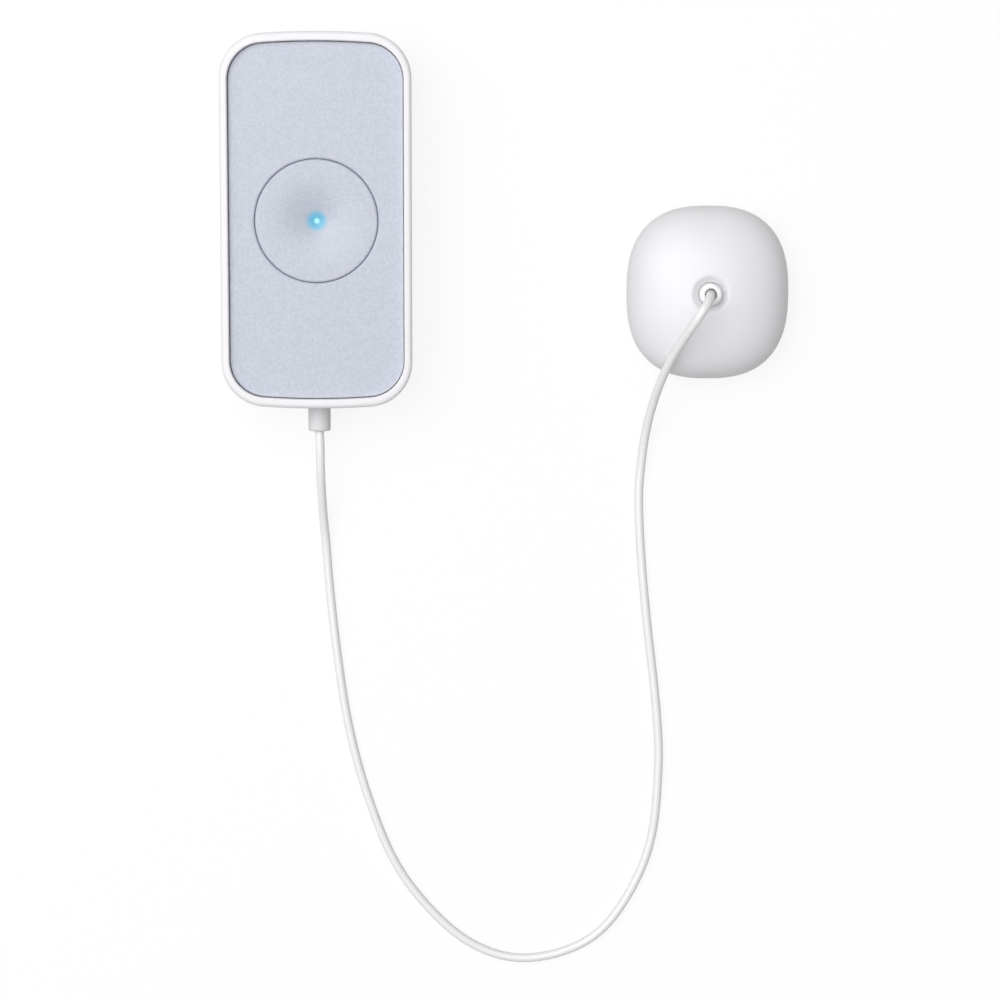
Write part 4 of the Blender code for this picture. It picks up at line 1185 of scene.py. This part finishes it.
    def build_collar(self) -> None:
        """Round collar that stands in the moat and grips the cord."""
        low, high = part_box("probe_gland")
        flange_radius = (high.x - low.x) / 2
        flange_top = low.z + self.flange_height
        section = [
            Corner(WIDE_POLE, low.z),
            Corner(flange_radius, low.z, self.edge_ease),
            Corner(flange_radius, flange_top, self.edge_ease),
            Corner(self.collar_radius, flange_top, self.edge_ease / 2),
            Corner(self.collar_radius, high.z, self.collar_ease),
            Corner(self.bore_radius, high.z, self.collar_ease / 2),
            Corner(self.bore_radius, high.z - self.bore_depth, self.edge_ease / 2),
            Corner(WIDE_POLE, high.z - self.bore_depth),
        ]
        ring = turned(Vector((self.middle.x, self.middle.y, 0)), self.collar_points)
        rings = [ring(radius, height) for radius, height in eased(section)]
        collar = shell("collar_moulding", rings, End.CAP, End.CAP)
        hand_over(settle(collar), "probe_gland", Body.HOST, CORD_SKIN)

    def build_pins(self) -> None:
        """Four plated pins with round-edged feet, modelled once and copied."""
        low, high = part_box(PINS[0])
        middle = (low + high) / 2
        foot_radius = (high.x - low.x) / 2
        section = [
            Corner(POLE, low.z),
            Corner(foot_radius, low.z, self.edge_ease),
            Corner(foot_radius, low.z + self.foot_height, self.edge_ease),
            Corner(self.pin_radius, low.z + self.foot_height, self.edge_ease / 2),
            Corner(self.pin_radius, high.z, self.edge_ease),
            Corner(POLE, high.z),
        ]
        ring = turned(Vector((middle.x, middle.y, 0)), self.pin_points)
        rings = [ring(radius, height) for radius, height in eased(section)]
        first = settle(shell("contact_pin_1", rings, End.CAP, End.CAP))
        hand_over_set(first, "contact_pin", PINS, GOLD)

    def build(self) -> None:
        """Build and dress the probe."""
        self.build_shell()
        self.build_base()
        self.build_collar()
        self.build_pins()


@dataclass
class CordRun:
    """The free cord from the host's sleeve to the probe's collar, and the sleeve."""

    radius: float = 0.9 * MM
    length: float = 298.4 * MM
    bore_depth: float = 1.2 * MM
    bore_radius: float = 1.1 * MM
    seat_gap: float = 0.3 * MM
    sleeve_radius: float = 2.28 * MM
    sleeve_end_radius: float = 2.26 * MM
    sleeve_ease: float = 0.45 * MM
    flange_thickness: float = 1.2 * MM
    spacing: float = 0.5 * MM
    taper_length: float = 4.7 * MM
    flange_ease: float = 0.2 * MM
    mouth_ease: float = 0.12 * MM
    inner_ease: float = 0.1 * MM
    round_points: int = 128
    route: tuple[tuple[float, float, float], ...] = (
        (0.1, -46.5, 7.9), (0.1, -51.0, 7.2), (0.2, -56.0, 5.3), (0.4, -61.5, 2.9),
        (0.8, -67.0, 1.4), (1.5, -76.6, 0.95), (3.0, -90.5, 0.95), (5.1, -104.5, 0.95),
        (8.6, -118.5, 0.95), (14.0, -132.8, 0.95), (20.6, -142.7, 0.95), (29.6, -151.1, 0.95),
        (39.6, -154.9, 0.95), (50.1, -153.6, 0.95), (58.6, -148.5, 0.95), (65.2, -138.7, 0.95),
        (68.8, -128.0, 0.95), (70.0, -114.0, 0.95), (69.7, -104.5, 0.95), (68.8, -95.2, 0.95),
        (67.2, -81.3, 0.95), (66.0, -67.4, 0.95), (65.6, -57.0, 1.0), (66.1, -49.6, 1.5),
        (66.9, -43.4, 3.1), (68.1, -37.7, 6.0), (69.6, -32.5, 9.8), (71.5, -27.7, 13.6),
        (73.6, -23.8, 17.0), (75.6, -20.5, 19.7), (77.0, -18.2, 20.5), (78.2, -16.4, 19.7),
        (78.85, -15.3, 18.0), (79.05, -14.9, 16.2),
    )

    def __post_init__(self) -> None:
        """Read both ends of the cord from the frame."""
        sleeve_low, sleeve_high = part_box("strain_relief")
        self.sleeve_end = sleeve_low.y
        self.sleeve_start = sleeve_high.y
        self.flange_radius = (sleeve_high.x - sleeve_low.x) / 2
        self.height = (sleeve_low.z + sleeve_high.z) / 2
        gland_low, gland_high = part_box("probe_gland")
        self.collar = (gland_low + gland_high) / 2
        self.collar_top = gland_high.z

    def smooth_route(self) -> Ring:
        """Points along one smooth curve through the route, by Catmull-Rom segments."""
        seat = self.sleeve_end + self.bore_depth - self.seat_gap
        start = [Vector((0, seat, self.height)), Vector((0, self.sleeve_end - self.seat_gap, self.height))]
        middle = [Vector(point) * MM for point in self.route]
        bore_floor = self.collar_top - self.bore_depth + self.seat_gap
        route = start + middle + [Vector((self.collar.x, self.collar.y, bore_floor))]
        padded = [route[0] * 2 - route[1], *route, route[-1] * 2 - route[-2]]
        points = []
        for before, first, last, after in zip(padded, padded[1:], padded[2:], padded[3:]):
            steps = max(2, round((last - first).length / self.spacing))
            for t in spread(0, 1, steps)[:-1]:
                curve = 2 * first + (last - before) * t
                curve += (2 * before - 5 * first + 4 * last - after) * t**2
                curve += (3 * first - before - 3 * last + after) * t**3
                points.append(curve / 2)
        return points + [route[-1]]

    def build_cord(self) -> None:
        """The cord as one round, smooth line."""
        points = self.smooth_route()
        curve = bpy.data.curves.new("cord_line", "CURVE")
        curve.dimensions = "3D"
        curve.bevel_depth = self.radius
        curve.bevel_resolution = 7
        curve.use_fill_caps = True
        spline = curve.splines.new("POLY")
        spline.points.add(len(points) - 1)
        for target, point in zip(spline.points, points):
            target.co = (*point, 1.0)
        spline.use_smooth = True
        cord = bpy.data.objects.new("cord_line", curve)
        bpy.context.collection.objects.link(cord)
        hand_over(cord, "cord", Body.HOST, CORD_SKIN)

    def build_sleeve(self) -> None:
        """Nearly straight sleeve that holds the cord where it leaves the host."""
        along = Vector((0, -1, 0))
        ring = turned(Vector((0, 0, self.height)), self.round_points, along)
        start = -self.sleeve_start
        end = -self.sleeve_end
        flange_end = start + self.flange_thickness
        section = [
            Corner(WIDE_POLE, start),
            Corner(self.flange_radius, start, self.flange_ease),
            Corner(self.flange_radius, flange_end, self.flange_ease),
            Corner(self.sleeve_radius, flange_end, self.inner_ease),
            Corner(self.sleeve_radius, end - self.taper_length),
            Corner(self.sleeve_end_radius, end, self.sleeve_ease),
            Corner(self.bore_radius, end, self.mouth_ease),
            Corner(self.bore_radius, end - self.bore_depth, self.inner_ease),
            Corner(WIDE_POLE, end - self.bore_depth),
        ]
        rings = [ring(radius, distance) for radius, distance in eased(section)]
        sleeve = shell("sleeve_moulding", rings, End.CAP, End.CAP)
        hand_over(settle(sleeve), "strain_relief", Body.HOST, SOFT)

    def build(self) -> None:
        """Build and dress the cord and its sleeve."""
        self.build_cord()
        self.build_sleeve()


@dataclass
class InnerPieces:
    """Pieces inside the two housings, which keep the frame's shapes and get a finish each."""

    def build(self) -> None:
        """Dress every inner piece."""
        finishes = {
            BOARD: ("circuit_board", "probe_board"),
            BLACK: ("switch_housing", "switch_plunger", "controller_chip", "battery_holder"),
            STEEL: ("coin_cell", "radio_shield"),
            GOLD: ("battery_contact_positive", "battery_contact_negative"),
            WHITE: ("lead_connector",),
            GUIDE: ("status_led",),
            RUBBER: ("probe_seal",),
            BLACK_LEAD: ("host_lead_1", "probe_lead_1"),
            RED_LEAD: ("host_lead_2", "probe_lead_2"),
        }
        for finish, nodes in finishes.items():
            for node in nodes:
                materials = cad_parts[node].data.materials
                materials.clear()
                materials.append(finish.material())
                log.info("%s dressed in %s", node, finish.name)


@dataclass(frozen=True)
class Lamp:
    """A square soft lamp: the level that it adds on the floor, where it hangs and its size."""

    name: str
    level: float
    height: float
    bearing: float
    size: float


@dataclass
class Studio:
    """White floor, an even sky, two soft lamps from the upper left and the camera of the photograph."""

    target: Vector = Vector((36.85, -57.97, 0)) * MM
    distance: float = 620 * MM
    pitch: float = math.radians(6.5)
    lens: float = 107.55
    sky: float = 0.31
    lamps: tuple[Lamp, ...] = (
        Lamp("high_lamp", level=0.705, height=math.radians(67), bearing=math.radians(142), size=1.1),
        Lamp("side_lamp", level=0.03, height=math.radians(25), bearing=math.radians(160), size=0.7),
    )
    lamp_distance: float = 1.2
    floor_size: float = 6.0
    floor_gap: float = 0.01 * MM
    floor_glow: float = 0.855
    floor_seen: float = 0.16
    floor_unseen: float = 0.35

    def place_camera(self) -> None:
        """Look straight down, but for a slight tilt, from above the host's far end."""
        data = bpy.data.cameras.new("camera")
        data.lens = self.lens
        camera = bpy.data.objects.new("camera", data)
        offset = Vector((0, math.sin(self.pitch), math.cos(self.pitch))) * self.distance
        camera.location = self.target + offset
        camera.rotation_euler = (-self.pitch, 0, 0)
        bpy.context.collection.objects.link(camera)
        bpy.context.scene.camera = camera

    def light_sky(self) -> None:
        """An even sky that lights the object, and is plain white to the camera and in reflections."""
        world = bpy.data.worlds.new("sky")
        world.use_nodes = True
        bpy.context.scene.world = world
        nodes, links = world.node_tree.nodes, world.node_tree.links
        background = nodes["Background"]
        background.inputs["Color"].default_value = (1.0, 1.0, 1.0, 1.0)
        strength = nodes.new("ShaderNodeMapRange")
        strength.inputs["To Min"].default_value = self.sky
        strength.inputs["To Max"].default_value = 1.0
        links.new(self.seen(nodes, links), strength.inputs["Value"])
        links.new(strength.outputs["Result"], background.inputs["Strength"])

    @staticmethod
    def seen(nodes: bpy.types.Nodes, links: bpy.types.NodeLinks) -> Socket:
        """1 for the camera, in reflections and through clear pieces, and 0 for what only lights."""
        path = nodes.new("ShaderNodeLightPath")
        total = path.outputs["Is Camera Ray"]
        for name in ("Is Glossy Ray", "Is Transmission Ray"):
            add = nodes.new("ShaderNodeMath")
            add.operation = "ADD"
            add.use_clamp = True
            links.new(total, add.inputs[0])
            links.new(path.outputs[name], add.inputs[1])
            total = add.outputs["Value"]
        return total

    def hang(self, lamp: Lamp) -> None:
        """Hang a lamp, with its power worked out from the level that it adds on the floor."""
        data = bpy.data.lights.new(lamp.name, "AREA")
        data.shape = "SQUARE"
        data.size = lamp.size
        data.energy = lamp.level * (math.pi * self.lamp_distance) ** 2 / math.sin(lamp.height)
        hung = bpy.data.objects.new(lamp.name, data)
        bearing = Vector((math.cos(lamp.bearing), math.sin(lamp.bearing), 0))
        direction = bearing * math.cos(lamp.height) + Vector((0, 0, math.sin(lamp.height)))
        hung.location = self.target + direction * self.lamp_distance
        hung.rotation_euler = direction.to_track_quat("Z", "Y").to_euler()
        bpy.context.collection.objects.link(hung)

    def lay_floor(self) -> None:
        """Pale floor that is white to the camera where it is fully lit, and keeps soft shadows."""
        bpy.ops.mesh.primitive_plane_add(size=self.floor_size, location=(0, 0, -self.floor_gap))
        floor = bpy.context.object
        floor.name = "floor"
        material = bpy.data.materials.new("floor_white")
        material.use_nodes = True
        nodes, links = material.node_tree.nodes, material.node_tree.links
        nodes.remove(nodes["Principled BSDF"])
        plain = nodes.new("ShaderNodeBsdfDiffuse")
        plain.inputs["Color"].default_value = (*[self.floor_unseen] * 3, 1.0)
        shaded = nodes.new("ShaderNodeBsdfDiffuse")
        shaded.inputs["Color"].default_value = (*[self.floor_seen] * 3, 1.0)
        lit = nodes.new("ShaderNodeEmission")
        lit.inputs["Strength"].default_value = self.floor_glow
        both = nodes.new("ShaderNodeAddShader")
        links.new(shaded.outputs["BSDF"], both.inputs[0])
        links.new(lit.outputs["Emission"], both.inputs[1])
        choice = nodes.new("ShaderNodeMixShader")
        links.new(self.seen(nodes, links), choice.inputs["Fac"])
        links.new(plain.outputs["BSDF"], choice.inputs[1])
        links.new(both.outputs["Shader"], choice.inputs[2])
        links.new(choice.outputs["Shader"], nodes["Material Output"].inputs["Surface"])
        floor.data.materials.append(material)

    def light(self) -> None:
        """Light the set."""
        bpy.context.scene.view_settings.view_transform = "Standard"
        self.light_sky()
        for lamp in self.lamps:
            self.hang(lamp)
        self.lay_floor()


def main() -> None:
    """Place the camera and the cord, build the pieces in order, and light the set."""
    logging.basicConfig(level=logging.INFO, format="%(name)s: %(message)s")
    studio = Studio()
    studio.place_camera()
    for part in (CordRun(), HostCase(), PressButton(), Probe(), Screws(), InnerPieces()):
        part.build()
    studio.light()


if __name__ == "__main__":
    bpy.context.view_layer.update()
    main()
